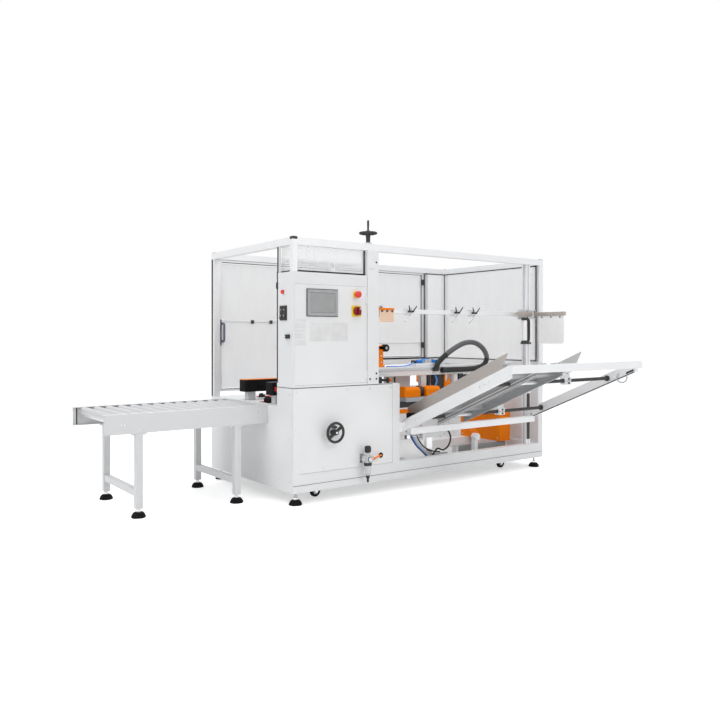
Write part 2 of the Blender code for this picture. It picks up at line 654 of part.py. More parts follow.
def build_magazine():
    """Two sloping rails with their cross members and rods, and the belt bed between them."""
    left, right, wide = MAGAZINE_LEFT, MAGAZINE_RIGHT, MAGAZINE_RAIL
    front, tall = MAGAZINE_FRONT, MAGAZINE_RAIL_HEIGHT
    inner_left, inner_right = left + wide / 2, right - wide / 2
    foot = bed_height(LEFT_RAIL_END) - tall
    pieces = [sloped(left, left + wide, front, LEFT_RAIL_END, 0, -tall),
              sloped(right - wide, right, front, RIGHT_RAIL_END, 0, -tall),
              block((left, front - FRONT_BEAM_DEPTH, MAGAZINE_TOP - FRONT_BEAM_HEIGHT), (right, front + 0.005, MAGAZINE_TOP)),
              block((inner_left, -0.045, foot - 0.010), (inner_right, -0.005, foot + 0.028)),
              block((FRONT_POST_END + GAP, 0.004, foot + 0.004), (left + 0.01, LEFT_RAIL_END - 0.002, foot + 0.060)),
              block((right - wide + 0.002, -0.006, foot + 0.008), (right - 0.002, GUIDE_POST_FRONT - GAP, foot + 0.058))]
    pieces += [sloped(inner_left, BED_END + 0.02, y - 0.02, y + 0.02, -0.016 - GAP, -0.034) for y in BED_CROSSINGS]
    pieces += [rod((inner_left, y, bed_height(y) - ROD_DROP), (inner_right, y, bed_height(y) - ROD_DROP), ROD_RADIUS)
               for y in (UPPER_ROD, LOWER_ROD)]
    node("magazine_frame", fused(pieces), WHITE)
    half = BED_START + (BED_END - BED_START) * 0.42
    other = BED_END - (BED_END - BED_START) * 0.42
    bed = [sloped(BED_START, half, front + 0.012, -0.01, 0.010, -0.016),
           sloped(other, BED_END, front + 0.012, -0.01, 0.010, -0.016)]
    bed += [sloped(half - 0.01, other + 0.01, y - 0.02, y + 0.02, 0.002, -0.014) for y in (-0.70, -0.40, -0.08)]
    skirts = [sloped(x, x + BED_SKIRT, front + 0.012, -0.05, -0.008, -BED_DROP) for x in (BED_START, BED_END - BED_SKIRT)]
    cutters = [rod((BED_START - 0.01, y, bed_height(y) - ROD_DROP), (BED_END + 0.01, y, bed_height(y) - ROD_DROP),
                   ROD_RADIUS + RUN) for y in (UPPER_ROD, LOWER_ROD)]
    cutters += [sloped(BED_START - 0.01, BED_END + 0.03, y - 0.02 - GAP, y + 0.02 + GAP, -0.016 + GAP, -0.034 - GAP)
                for y in BED_CROSSINGS]
    node("magazine_bed", drilled(fused(bed + skirts), cutters), ALUMINIUM)
    low = GUIDE_SHEET
    fixed = [guide_plate(FIXED_GUIDE, LEFT_RAIL_END + 0.03),
             sloped(left + 0.002, FIXED_GUIDE + low, GUIDE_TIP + 0.06, LEFT_RAIL_END - 0.01, low, GAP)]
    node("fixed_guide", fused(fixed), STEEL)
    start = MOVING_GUIDE
    moving = [guide_plate(start, LEFT_RAIL_END + 0.03, 0.012),
              sloped(start, start + 0.040, GUIDE_TIP + 0.06, LEFT_RAIL_END + 0.03, 0.012 + low, 0.012)]
    for y in (UPPER_ROD, LOWER_ROD):
        middle = bed_height(y) - ROD_DROP
        saddle = block((start - 0.010, y - SADDLE / 2, middle - SADDLE / 2), (start + 0.040, y + SADDLE / 2, bed_height(y) + 0.013))
        bore = rod((start - 0.02, y, middle), (start + 0.05, y, middle), ROD_RADIUS + RUN)
        moving.append(drilled(saddle, [bore]))
    node("moving_guide", fused(moving), STEEL, (start, 0, bed_height(0)))


def guide_plate(start, back, low=GAP):
    """A guide's upright sheet, cut square to the slope at its tip."""
    tip = GUIDE_TIP
    outline = [(tip + 0.05, bed_height(tip + 0.05) + low), (back, bed_height(back) + low),
               (back, bed_height(back) + GUIDE_HEIGHT), (tip, bed_height(tip) + GUIDE_HEIGHT)]
    return plate("X", start, start + GUIDE_SHEET, outline)


def build_hold_down():
    """The guide post, and the bar that slides up and down between it and the column."""
    post, wide, front = GUIDE_POST_START, GUIDE_POST_WIDTH, GUIDE_POST_FRONT
    ring_top = BODY_BOTTOM + RING_HEIGHT
    node("guide_post", block((post, front, ring_top + GAP), (post + wide, front + wide, BODY_HEIGHT - GUARD_PROFILE - GAP)),
         ALUMINIUM)
    low, high = BAR_HEIGHT - BAR_SIZE / 2, BAR_HEIGHT + BAR_SIZE / 2
    bar_front = front + 0.004
    arm = post + wide + RUN
    pieces = [block((COLUMN_END + 0.02, bar_front, low), (post - RUN - 0.02, bar_front + BAR_SIZE, high)),
              block((COLUMN_END + RUN, 0.002, low - 0.02), (COLUMN_END + 0.035, COLUMN_DEPTH - 0.002, high + 0.02)),
              block((post - 0.045, -0.025, low - 0.02), (post - RUN, front + wide, high + 0.02)),
              block((post - 0.040, -0.024, low - 0.018), (arm + 0.02, front - RUN, high + 0.018)),
              block((arm, ARM_FRONT, low + 0.006), (arm + 0.02, ARM_BACK, high - 0.004)),
              block((arm + 0.004, BOARD_FRONT, BAR_HEIGHT - BOARD_DROP), (arm + 0.010, BOARD_BACK, low + 0.010))]
    node("hold_down_bar", fused(pieces), ALUMINIUM, (COLUMN_END, bar_front, BAR_HEIGHT))


# ---------------------------------------------------------------- inside

def build_inside():
    """What opens, pushes, drives and tapes the carton."""
    rest = BEAM_TOP + RUN
    middle = (BEAM_FRONT + BEAM_BACK) / 2
    x = ARM_PLACE
    arm = [rod((x, middle, rest), (x, middle, rest + 0.012), 0.026, 16),
           block((x - 0.016, middle - 0.006, rest + 0.010), (x + 0.016, middle + 0.006, ARM_TOP - 0.008)),
           block((x - 0.010, middle - 0.005, ARM_TOP - 0.034), (x + ARM_REACH, middle + 0.005, ARM_TOP - 0.010)),
           rod((x + ARM_REACH, middle - 0.018, ARM_TOP - 0.024), (x + ARM_REACH, middle + 0.018, ARM_TOP - 0.024), 0.024, 16)]
    node("opening_arm", fused(arm), ORANGE, (x, middle, rest))
    start, end = PUSHER_START, PUSHER_START + PUSHER_LENGTH
    plate_start = end + PUSHER_PLATE
    pusher = [block((start, BEAM_FRONT + 0.004, rest), (end, BEAM_BACK + 0.01, rest + 0.045)),
              block((end - 0.03, BEAM_BACK + 0.002, BEAM_TOP - 0.02), (plate_start + 0.005, BEAM_BACK + 0.022, rest + 0.030)),
              block((plate_start, BEAM_BACK + 0.005, PUSHER_BOTTOM), (plate_start + 0.012, PUSHER_BACK, rest + 0.020))]
    node("pusher", fused(pusher), ORANGE, (start, middle, rest))
    node("drive_box", block(*DRIVE_BOX), ORANGE)
    for name, y in (("near", NEAR_BELT), ("far", FAR_BELT)):
        belt = [block((BELT_START, y, BELT_BOTTOM), (BELT_END, y + BELT_THICK, BELT_TOP))]
        belt += [block((foot, y + 0.02, TRACK_TOP + RUN), (foot + 0.05, y + BELT_THICK - 0.02, BELT_BOTTOM + 0.01))
                 for foot in (BELT_START + 0.03, BELT_END - 0.08)]
        node(f"side_belt_{name}", fused(belt), BLACK, (BELT_START, y, TRACK_TOP))
    (slot_left, slot_front), (slot_right, slot_back) = TAPE_SLOT
    tape = [block((slot_left + GAP + 0.003, slot_front + GAP, TRACK_TOP - 0.075), (slot_right - GAP, slot_back - GAP, TRACK_TOP)),
            rod((slot_left + 0.05, slot_front + 0.02, TRACK_TOP + 0.008), (slot_left + 0.05, slot_back - 0.02, TRACK_TOP + 0.008),
                TAPE_UNIT_TOP - TRACK_TOP - 0.008, 14)]
    node("tape_unit", fused(tape), RED)
    y = BEAM_FRONT - CONDUIT_RADIUS - GAP
    low = BEAM_BOTTOM + CONDUIT_RADIUS + 0.012
    node("cable_conduit", tube(smooth_line([
        (1.258, y, low + 0.010), (1.285, y, low + 0.055), (1.360, y, low + 0.108), (1.440, y, low + 0.150),
        (1.530, y, low + 0.181), (1.620, y, low + 0.180), (1.695, y, low + 0.145), (1.738, y, low + 0.088),
        (1.722, y, low + 0.036), (1.660, y, low + 0.009), (1.560, y, low), (1.440, y, low), (1.330, y, low)]),
        CONDUIT_RADIUS), BLACK)


def smooth_line(route, steps=3):
    """Points along a Catmull-Rom curve through route."""
    places = [Vector(point) for point in route]
    places = [2 * places[0] - places[1], *places, 2 * places[-1] - places[-2]]
    points = []
    for a, b, c, d in zip(places, places[1:], places[2:], places[3:]):
        for step in range(steps):
            t = step / steps
            points.append(0.5 * (2 * b + (c - a) * t + (2 * a - 5 * b + 4 * c - d) * t ** 2
                                 + (3 * b - a - 3 * c + d) * t ** 3))
    return [*points, places[-2]]


clear_scene()
parts = bpy.data.collections.new("carton_sealer_machine")
bpy.context.scene.collection.children.link(parts)
machine = bpy.data.objects.new("machine", None)
machine.location = ((CONVEYOR_LENGTH - BODY_LENGTH) / 2, (FRONT_BEAM_DEPTH - MAGAZINE_FRONT - BODY_DEPTH) / 2, 0)
parts.objects.link(machine)

build_feet()
build_casters()
build_conveyor()
build_base_frame()
build_cladding()
build_guards()
build_cabinet()
build_column()
build_front_fittings()
build_magazine()
build_hold_down()
build_inside()
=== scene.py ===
"""Looks of a carton erecting and sealing machine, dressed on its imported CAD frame.

Lengths are in metres. Pieces are placed in the machine frame: its origin is on the floor under the
front left corner of the body, with X along the machine, Y towards its back and Z up. The frame's
control cabinet gives where that corner is.
"""

import logging
import math
from dataclasses import dataclass, field
from enum import Enum
from typing import Any, Iterable, Optional, Sequence, Union

import bmesh
import bpy
from mathutils import Matrix, Vector

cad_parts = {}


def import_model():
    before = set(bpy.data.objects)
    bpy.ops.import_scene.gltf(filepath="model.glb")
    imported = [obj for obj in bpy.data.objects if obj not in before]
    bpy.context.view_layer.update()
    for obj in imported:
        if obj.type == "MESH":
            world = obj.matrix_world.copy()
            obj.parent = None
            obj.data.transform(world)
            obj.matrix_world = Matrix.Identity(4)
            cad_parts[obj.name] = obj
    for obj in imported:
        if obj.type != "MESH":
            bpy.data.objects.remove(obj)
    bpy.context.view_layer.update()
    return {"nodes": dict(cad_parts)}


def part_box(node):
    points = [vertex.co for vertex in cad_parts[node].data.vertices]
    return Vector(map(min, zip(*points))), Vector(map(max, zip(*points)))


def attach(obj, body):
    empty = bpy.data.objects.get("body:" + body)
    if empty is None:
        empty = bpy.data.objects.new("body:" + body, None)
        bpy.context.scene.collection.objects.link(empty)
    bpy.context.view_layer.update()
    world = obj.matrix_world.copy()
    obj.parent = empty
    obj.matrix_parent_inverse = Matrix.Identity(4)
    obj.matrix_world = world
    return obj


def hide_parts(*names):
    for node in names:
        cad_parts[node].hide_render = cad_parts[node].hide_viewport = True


LOG = logging.getLogger("machine")
Point = Sequence[float]
Colour = tuple[float, float, float]
DECK_TOP = 0.5305  # what stands on the deck starts here, half a millimetre above the sheet
TRACK_SKIN = 0.5306  # what lies on the carton track starts here


# ---------------------------------------------------------------- shader expressions

class Expr:
    """A socket that takes part in shader maths."""

    def __init__(self, shader: "Shader", socket: bpy.types.NodeSocket) -> None:
        """Wraps a socket of a shader's tree."""
        self.shader = shader
        self.socket = socket

    def math(self, operation: str, *others: "Number", clamp: bool = False) -> "Expr":
        """A Math node on this value.

        Args:
            operation: the Math node's operation.
            others: its further inputs.
            clamp: whether the result stays between 0 and 1.

        Returns:
            The node's result.
        """
        return self.shader.math(operation, self, *others, clamp=clamp)

    def __add__(self, other: "Number") -> "Expr":
        """Sum."""
        return self.math("ADD", other)

    def __sub__(self, other: "Number") -> "Expr":
        """Difference."""
        return self.math("SUBTRACT", other)

    def __rsub__(self, other: "Number") -> "Expr":
        """Reflected difference."""
        return self.shader.math("SUBTRACT", other, self)

    def __mul__(self, other: "Number") -> "Expr":
        """Product."""
        return self.math("MULTIPLY", other)

    __radd__ = __add__
    __rmul__ = __mul__

    def step(self, low: float, high: float) -> "Expr":
        """This value carried from low..high to 0..1, with its ends held."""
        return self.shader.node("ShaderNodeMapRange", {"clamp": True},
            {"Value": self, "From Min": low, "From Max": high})["Result"]


Number = Union[Expr, float]


class Made:
    """A node whose outputs are read by name."""

    def __init__(self, shader: "Shader", node: bpy.types.Node) -> None:
        """Wraps a node of a shader's tree."""
        self.shader = shader
        self.node = node

    def __getitem__(self, name: Union[str, int]) -> Expr:
        """The output of that name or number."""
        return Expr(self.shader, self.node.outputs[name])


class Shader:
    """A material's node tree, with its Principled shader."""

    def __init__(self, name: str) -> None:
        """Makes the material."""
        self.material = bpy.data.materials.new(name)
        self.material.use_nodes = True
        self.tree = self.material.node_tree
        self.surface = self.tree.nodes["Principled BSDF"]

    def node(self, kind: str, settings: Optional[dict[str, Any]] = None,
            inputs: Optional[dict[Union[str, int], Any]] = None) -> Made:
        """Adds a node.

        Args:
            kind: the node's type.
            settings: its properties, set first; "stops" fills a colour ramp.
            inputs: values or links of its sockets, by name or number.

        Returns:
            The node.
        """
        made = self.tree.nodes.new(kind)
        for key, value in (settings or {}).items():
            if key == "stops":
                self._fill_ramp(made.color_ramp, value)
            else:
                setattr(made, key, value)
        for key, value in (inputs or {}).items():
            self.put(made.inputs[key], value)
        return Made(self, made)

    @staticmethod
    def _fill_ramp(ramp: bpy.types.ColorRamp, stops: Sequence[tuple[float, Colour]]) -> None:
        """Puts a ramp's stops in place."""
        while len(ramp.elements) < len(stops):
            ramp.elements.new(1.0)
        for element, (place, colour) in zip(ramp.elements, stops):
            element.position = place
            element.color = (*colour, 1.0)

    def put(self, socket: bpy.types.NodeSocket, value: Any) -> None:
        """Links an expression to a socket, or sets its value."""
        if isinstance(value, Expr):
            self.tree.links.new(value.socket, socket)
        elif isinstance(value, (tuple, list)) and socket.type == "RGBA":
            socket.default_value = (*value[:3], 1.0)
        else:
            socket.default_value = value

    def math(self, operation: str, *values: Number, clamp: bool = False) -> Expr:
        """A Math node on values."""
        return self.node("ShaderNodeMath", {"operation": operation, "use_clamp": clamp},
            dict(enumerate(values)))["Value"]

    def mix(self, factor: Number, first: Any, second: Any, blend: str = "MIX") -> Expr:
        """Two colours mixed.

        Args:
            factor: how much of the second.
            first: a colour or a link.
            second: a colour or a link.
            blend: the Mix node's blend type.

        Returns:
            The mixed colour.
        """
        made = self.node("ShaderNodeMix", {"data_type": "RGBA", "blend_type": blend}, {0: factor})
        self.put(made.node.inputs[6], first)
        self.put(made.node.inputs[7], second)
        return Expr(self, made.node.outputs[2])

    def place(self, scale: Point = (1.0, 1.0, 1.0)) -> Expr:
        """Object coordinates, scaled."""
        where = self.node("ShaderNodeTexCoord")["Object"]
        return self.node("ShaderNodeVectorMath", {"operation": "MULTIPLY"},
            {0: where, 1: tuple(scale)})["Vector"]

    def noise(self, scale: float, detail: float = 3.0, stretch: Point = (1.0, 1.0, 1.0)) -> Expr:
        """Noise over the surface, from 0 to 1."""
        return self.node("ShaderNodeTexNoise", {}, {"Vector": self.place(stretch), "Scale": scale,
            "Detail": detail})[0]

    def axis(self, letter: str) -> Expr:
        """One object coordinate, in metres."""
        where = self.node("ShaderNodeTexCoord")["Object"]
        return self.node("ShaderNodeSeparateXYZ", {}, {0: where})[letter]

    def seen(self) -> Expr:
        """1 for what a camera, a reflection or a clear sheet shows, 0 for light that falls on things."""
        path = self.node("ShaderNodeLightPath")
        return path["Is Camera Ray"].math("MAXIMUM", path["Is Glossy Ray"]).math("MAXIMUM",
            path["Is Transmission Ray"])

    def bump(self, height: Expr, distance: float, strength: float = 1.0) -> Expr:
        """A normal raised by height, in metres."""
        return self.node("ShaderNodeBump", {}, {"Height": height, "Distance": distance,
            "Strength": strength})["Normal"]

    def set(self, **values: Any) -> None:
        """Sets the Principled shader's sockets, written with _ for a space."""
        for key, value in values.items():
            self.put(self.surface.inputs[key.replace("_", " ")], value)


# ---------------------------------------------------------------- finishes

@dataclass(frozen=True)
class Finish:
    """A surface finish with the record's slot that it belongs to."""

    name: str
    slot: str
    colour: Colour

    def material(self) -> bpy.types.Material:
        """The finish's material, made once."""
        found = bpy.data.materials.get(self.name)
        if found:
            return found
        shader = Shader(self.name)
        self.shade(shader)
        return shader.material

    def shade(self, shader: Shader) -> None:
        """Fills the shader; each finish has its own way."""
        shader.set(Base_Color=self.colour)


@dataclass(frozen=True)
class PowderCoat(Finish):
    """Satin paint baked on steel: a fine orange peel, faint cloudiness, and a little grey mixed in towards
    the bottom.
    """

    roughness: float = 0.36
    peel: float = 0.00006
    bottom_grey: float = 0.05
    gloss: float = 0.4

    def shade(self, shader: Shader) -> None:
        """Fills the shader."""
        cloud = shader.noise(3.0, 4.0)
        worn = tuple(part * 0.93 for part in self.colour)
        # Greyer towards the bottom: grey is mixed in from 0.45 m down, most at 0.05 m, and also in faint
        # patches.
        low = shader.axis("Z").step(0.45, 0.05) * self.bottom_grey
        tone = shader.mix(cloud.step(0.35, 0.75) * 0.5, self.colour, worn)
        bottom_greyed = shader.mix(low + cloud.step(0.55, 0.8) * 0.04, tone, (0.5, 0.49, 0.47))
        grain = shader.noise(700.0, 2.0)
        shader.set(Base_Color=bottom_greyed, Roughness=cloud * 0.12 + (self.roughness - 0.06),
            Normal=shader.bump(grain, self.peel, 0.35), Specular_IOR_Level=self.gloss)


class Grain(Enum):
    """The axis that a brushed metal's scratches run along."""

    X = (2.0, 160.0, 160.0)
    Y = (160.0, 2.0, 160.0)
    Z = (160.0, 160.0, 2.0)
    NONE = (60.0, 60.0, 60.0)


@dataclass(frozen=True)
class Metal(Finish):
    """Bare or anodised metal with brushing along one axis and faint stains."""

    roughness: float = 0.3
    grain: Grain = Grain.NONE
    metallic: float = 1.0
    scratch: float = 0.1

    def shade(self, shader: Shader) -> None:
        """Fills the shader."""
        lines = shader.noise(4.0, 3.0, self.grain.value)
        stain = shader.noise(7.0, 4.0)
        dark = tuple(part * 0.72 for part in self.colour)
        tone = shader.mix(lines.step(0.3, 0.7) * self.scratch * 3.0, self.colour, dark)
        aged = shader.mix(stain.step(0.5, 0.8) * 0.2, tone, dark)
        shader.set(Base_Color=aged, Metallic=self.metallic, Roughness=lines * 0.16 + stain * 0.08
            + (self.roughness - 0.12), Normal=shader.bump(lines, 0.00005, 0.4))


@dataclass(frozen=True)
class Moulded(Finish):
    """Moulded plastic or rubber with a fine spark-eroded grain and dulled patches."""

    roughness: float = 0.42
    grain: float = 900.0
    depth: float = 0.00008
    coat: float = 0.0
    gloss: float = 0.25

    def shade(self, shader: Shader) -> None:
        """Fills the shader."""
        patch = shader.noise(22.0, 4.0)
        fine = shader.noise(self.grain, 2.0)
        pale = tuple(min(1.0, part * 1.18 + 0.012) for part in self.colour)
        tone = shader.mix(patch.step(0.4, 0.75) * 0.6, self.colour, pale)
        shader.set(Base_Color=tone, Roughness=patch * 0.14 + (self.roughness - 0.07),
            Normal=shader.bump(fine, self.depth, 0.5), Coat_Weight=self.coat, Specular_IOR_Level=self.gloss)


@dataclass(frozen=True)
class Acrylic(Finish):
    """A clear sheet: it shows a pale tint and the lights, and faint wiping marks."""

    alpha: float = 0.3
    roughness: float = 0.06

    def shade(self, shader: Shader) -> None:
        """Fills the shader."""
        wipe = shader.noise(9.0, 4.0, (1.0, 1.0, 0.25))
        pale = tuple(min(1.0, part * 1.05) for part in self.colour)
        shader.set(Base_Color=shader.mix(wipe.step(0.4, 0.7) * 0.5, self.colour, pale),
            Alpha=wipe * 0.08 + (self.alpha - 0.04), Roughness=wipe * 0.06 + self.roughness,
            Coat_Weight=0.3)


@dataclass(frozen=True)
class Display(Finish):
    """A switched-off screen under matt glass, with a faint window of a paler grey."""

    def shade(self, shader: Shader) -> None:
        """Fills the shader."""
        cloud = shader.noise(14.0, 3.0)
        fine = shader.noise(1400.0, 1.0)
        pale = tuple(part * 1.25 for part in self.colour)
        shader.set(Base_Color=shader.mix(cloud.step(0.3, 0.7) * 0.7, self.colour, pale),
            Roughness=cloud * 0.06 + 0.16, Normal=shader.bump(fine, 0.00002, 0.3), Coat_Weight=0.4)


@dataclass(frozen=True)
class Ground(Finish):
    """A pale floor: a camera sees it white under the machine's shadow, and it lights nothing."""

    glow: float = 0.5

    def shade(self, shader: Shader) -> None:
        """Fills the shader."""
        shader.set(Base_Color=self.colour, Roughness=0.9)
        shown = shader.node("ShaderNodeBsdfPrincipled", {}, {"Base Color": self.colour, "Roughness": 0.9,
            "Emission Color": self.colour, "Emission Strength": self.glow})
        mixed = shader.node("ShaderNodeMixShader", {}, {0: shader.seen()})
        shader.tree.links.new(shader.surface.outputs[0], mixed.node.inputs[1])
        shader.tree.links.new(shown.node.outputs[0], mixed.node.inputs[2])
        shader.tree.links.new(mixed.node.outputs[0], shader.tree.nodes["Material Output"].inputs["Surface"])


WHITE = PowderCoat("white_powder_coat", "white_paint", (0.83, 0.84, 0.85))
DOOR_WHITE = PowderCoat("white_door_coat", "white_paint", (0.86, 0.865, 0.87), roughness=0.32)
# A darker copy of the white paint for parts that sit in shade, inside the machine and behind panes: painted
# shade.
SHADE_WHITE = PowderCoat("painted_shade_white_coat", "white_paint", (0.7, 0.71, 0.72))
# The body's white paint made darker for the conveyor: painted shade, the same paint seen in less light.
SHADED_CONVEYOR_WHITE = PowderCoat("painted_shade_outfeed_coat", "white_paint", (0.715, 0.722, 0.73))
RAIL_ALLOY = Metal("anodised_rail", "aluminium", (0.86, 0.87, 0.88), roughness=0.42, metallic=0.35,
    scratch=0.05)
ALLOY = Metal("anodised_alloy", "aluminium", (0.62, 0.63, 0.65), roughness=0.34, grain=Grain.Z,
    metallic=0.85)
SKIRT_ALLOY = Metal("shaded_alloy", "aluminium", (0.36, 0.365, 0.37), roughness=0.46, grain=Grain.Y,
    metallic=0.3)
BED_ALLOY = Metal("bed_alloy", "aluminium", (0.58, 0.59, 0.61), roughness=0.36, grain=Grain.Y, metallic=0.8)
ZINC = Metal("galvanised_tube", "aluminium", (0.62, 0.63, 0.64), roughness=0.34, grain=Grain.NONE,
    metallic=0.35)
STAINLESS = Metal("brushed_stainless", "steel", (0.52, 0.48, 0.45), roughness=0.34, grain=Grain.Y,
    metallic=0.8)
BRIGHT = Metal("bright_steel", "steel", (0.7, 0.7, 0.71), roughness=0.22, metallic=1.0, scratch=0.05)
BLACK = Moulded("black_plastic", "black_plastic", (0.011, 0.011, 0.012))
GASKET = Moulded("black_gasket", "rubber", (0.018, 0.018, 0.019), roughness=0.62)
RUBBER = Moulded("foot_rubber", "rubber", (0.006, 0.006, 0.0065), roughness=0.75, grain=400.0, depth=0.0002,
    gloss=0.12)
GREY = Moulded("grey_plastic", "grey_plastic", (0.3, 0.32, 0.36), roughness=0.4)
PALE_GREY = Moulded("pale_grey_plastic", "grey_plastic", (0.58, 0.59, 0.61), roughness=0.4)
BEZEL = Moulded("bezel_plastic", "grey_plastic", (0.38, 0.385, 0.4), roughness=0.4)
HANDLE = Moulded("handle_plastic", "grey_plastic", (0.13, 0.14, 0.21), roughness=0.38)
RED = Moulded("red_plastic", "red_plastic", (0.78, 0.03, 0.025), roughness=0.26, coat=0.4)
DARK_RED = Moulded("dark_red_plastic", "red_plastic", (0.22, 0.006, 0.01), roughness=0.28, coat=0.25)
YELLOW = Moulded("yellow_plastic", "yellow_plastic", (0.9, 0.6, 0.02), roughness=0.34, coat=0.2)
BLUE = Moulded("blue_tube", "blue_plastic", (0.06, 0.27, 0.76), roughness=0.26, coat=0.2)
ORANGE = PowderCoat("orange_enamel", "orange_paint", (0.93, 0.225, 0.001), roughness=0.4, bottom_grey=0.0,
    gloss=0.12)
PALE_ORANGE = PowderCoat("pale_orange_sheet", "orange_paint", (0.88, 0.62, 0.46), roughness=0.4, bottom_grey=0.0)
# A grey for the top of the black conduit's loop, where light falls on it: painted highlight.
CONDUIT_HIGHLIGHT = Moulded("painted_highlight_conduit", "black_plastic", (0.15, 0.15, 0.155), roughness=0.5)
BOARD = Moulded("white_board", "white_paint", (0.93, 0.93, 0.93), roughness=0.45)
GUIDE_GREY = Metal("guide_steel", "steel", (0.66, 0.66, 0.66), roughness=0.38, grain=Grain.Y, metallic=0.5)
BLANK = Moulded("blank_label", "white_paint", (0.74, 0.74, 0.74), roughness=0.5, depth=0.00002)
FLOOR = Ground("pale_floor", "white_paint", (0.93, 0.93, 0.93))
GUARD = Acrylic("guard_acrylic", "clear_acrylic", (0.8, 0.81, 0.82), alpha=0.42)
WINDOW = Acrylic("window_acrylic", "clear_acrylic", (0.84, 0.85, 0.86), alpha=0.3)
BOWL = Acrylic("bowl_plastic", "clear_acrylic", (0.72, 0.74, 0.76), alpha=0.55)
SCREEN = Display("screen_glass", "grey_plastic", (0.31, 0.315, 0.315))


# ---------------------------------------------------------------- shapes

class Site:
    """Where the machine frame's origin lies in the model."""

    origin = Vector((0.0, 0.0, 0.0))

    @classmethod
    def settle(cls) -> None:
        """Reads the origin from the cabinet, whose low corner is above it."""
        low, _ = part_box("control_cabinet")
        cls.origin = Vector((low.x, low.y, 0.0))

    @classmethod
    def box(cls, node: str) -> tuple[Vector, Vector]:
        """A CAD node's box, in the machine frame."""
        low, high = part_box(node)
        return low - cls.origin, high - cls.origin


def facing(direction: Point) -> Matrix:
    """The turn that carries +Z to a direction."""
    return Vector(direction).to_track_quat("Z", "Y").to_matrix().to_4x4()


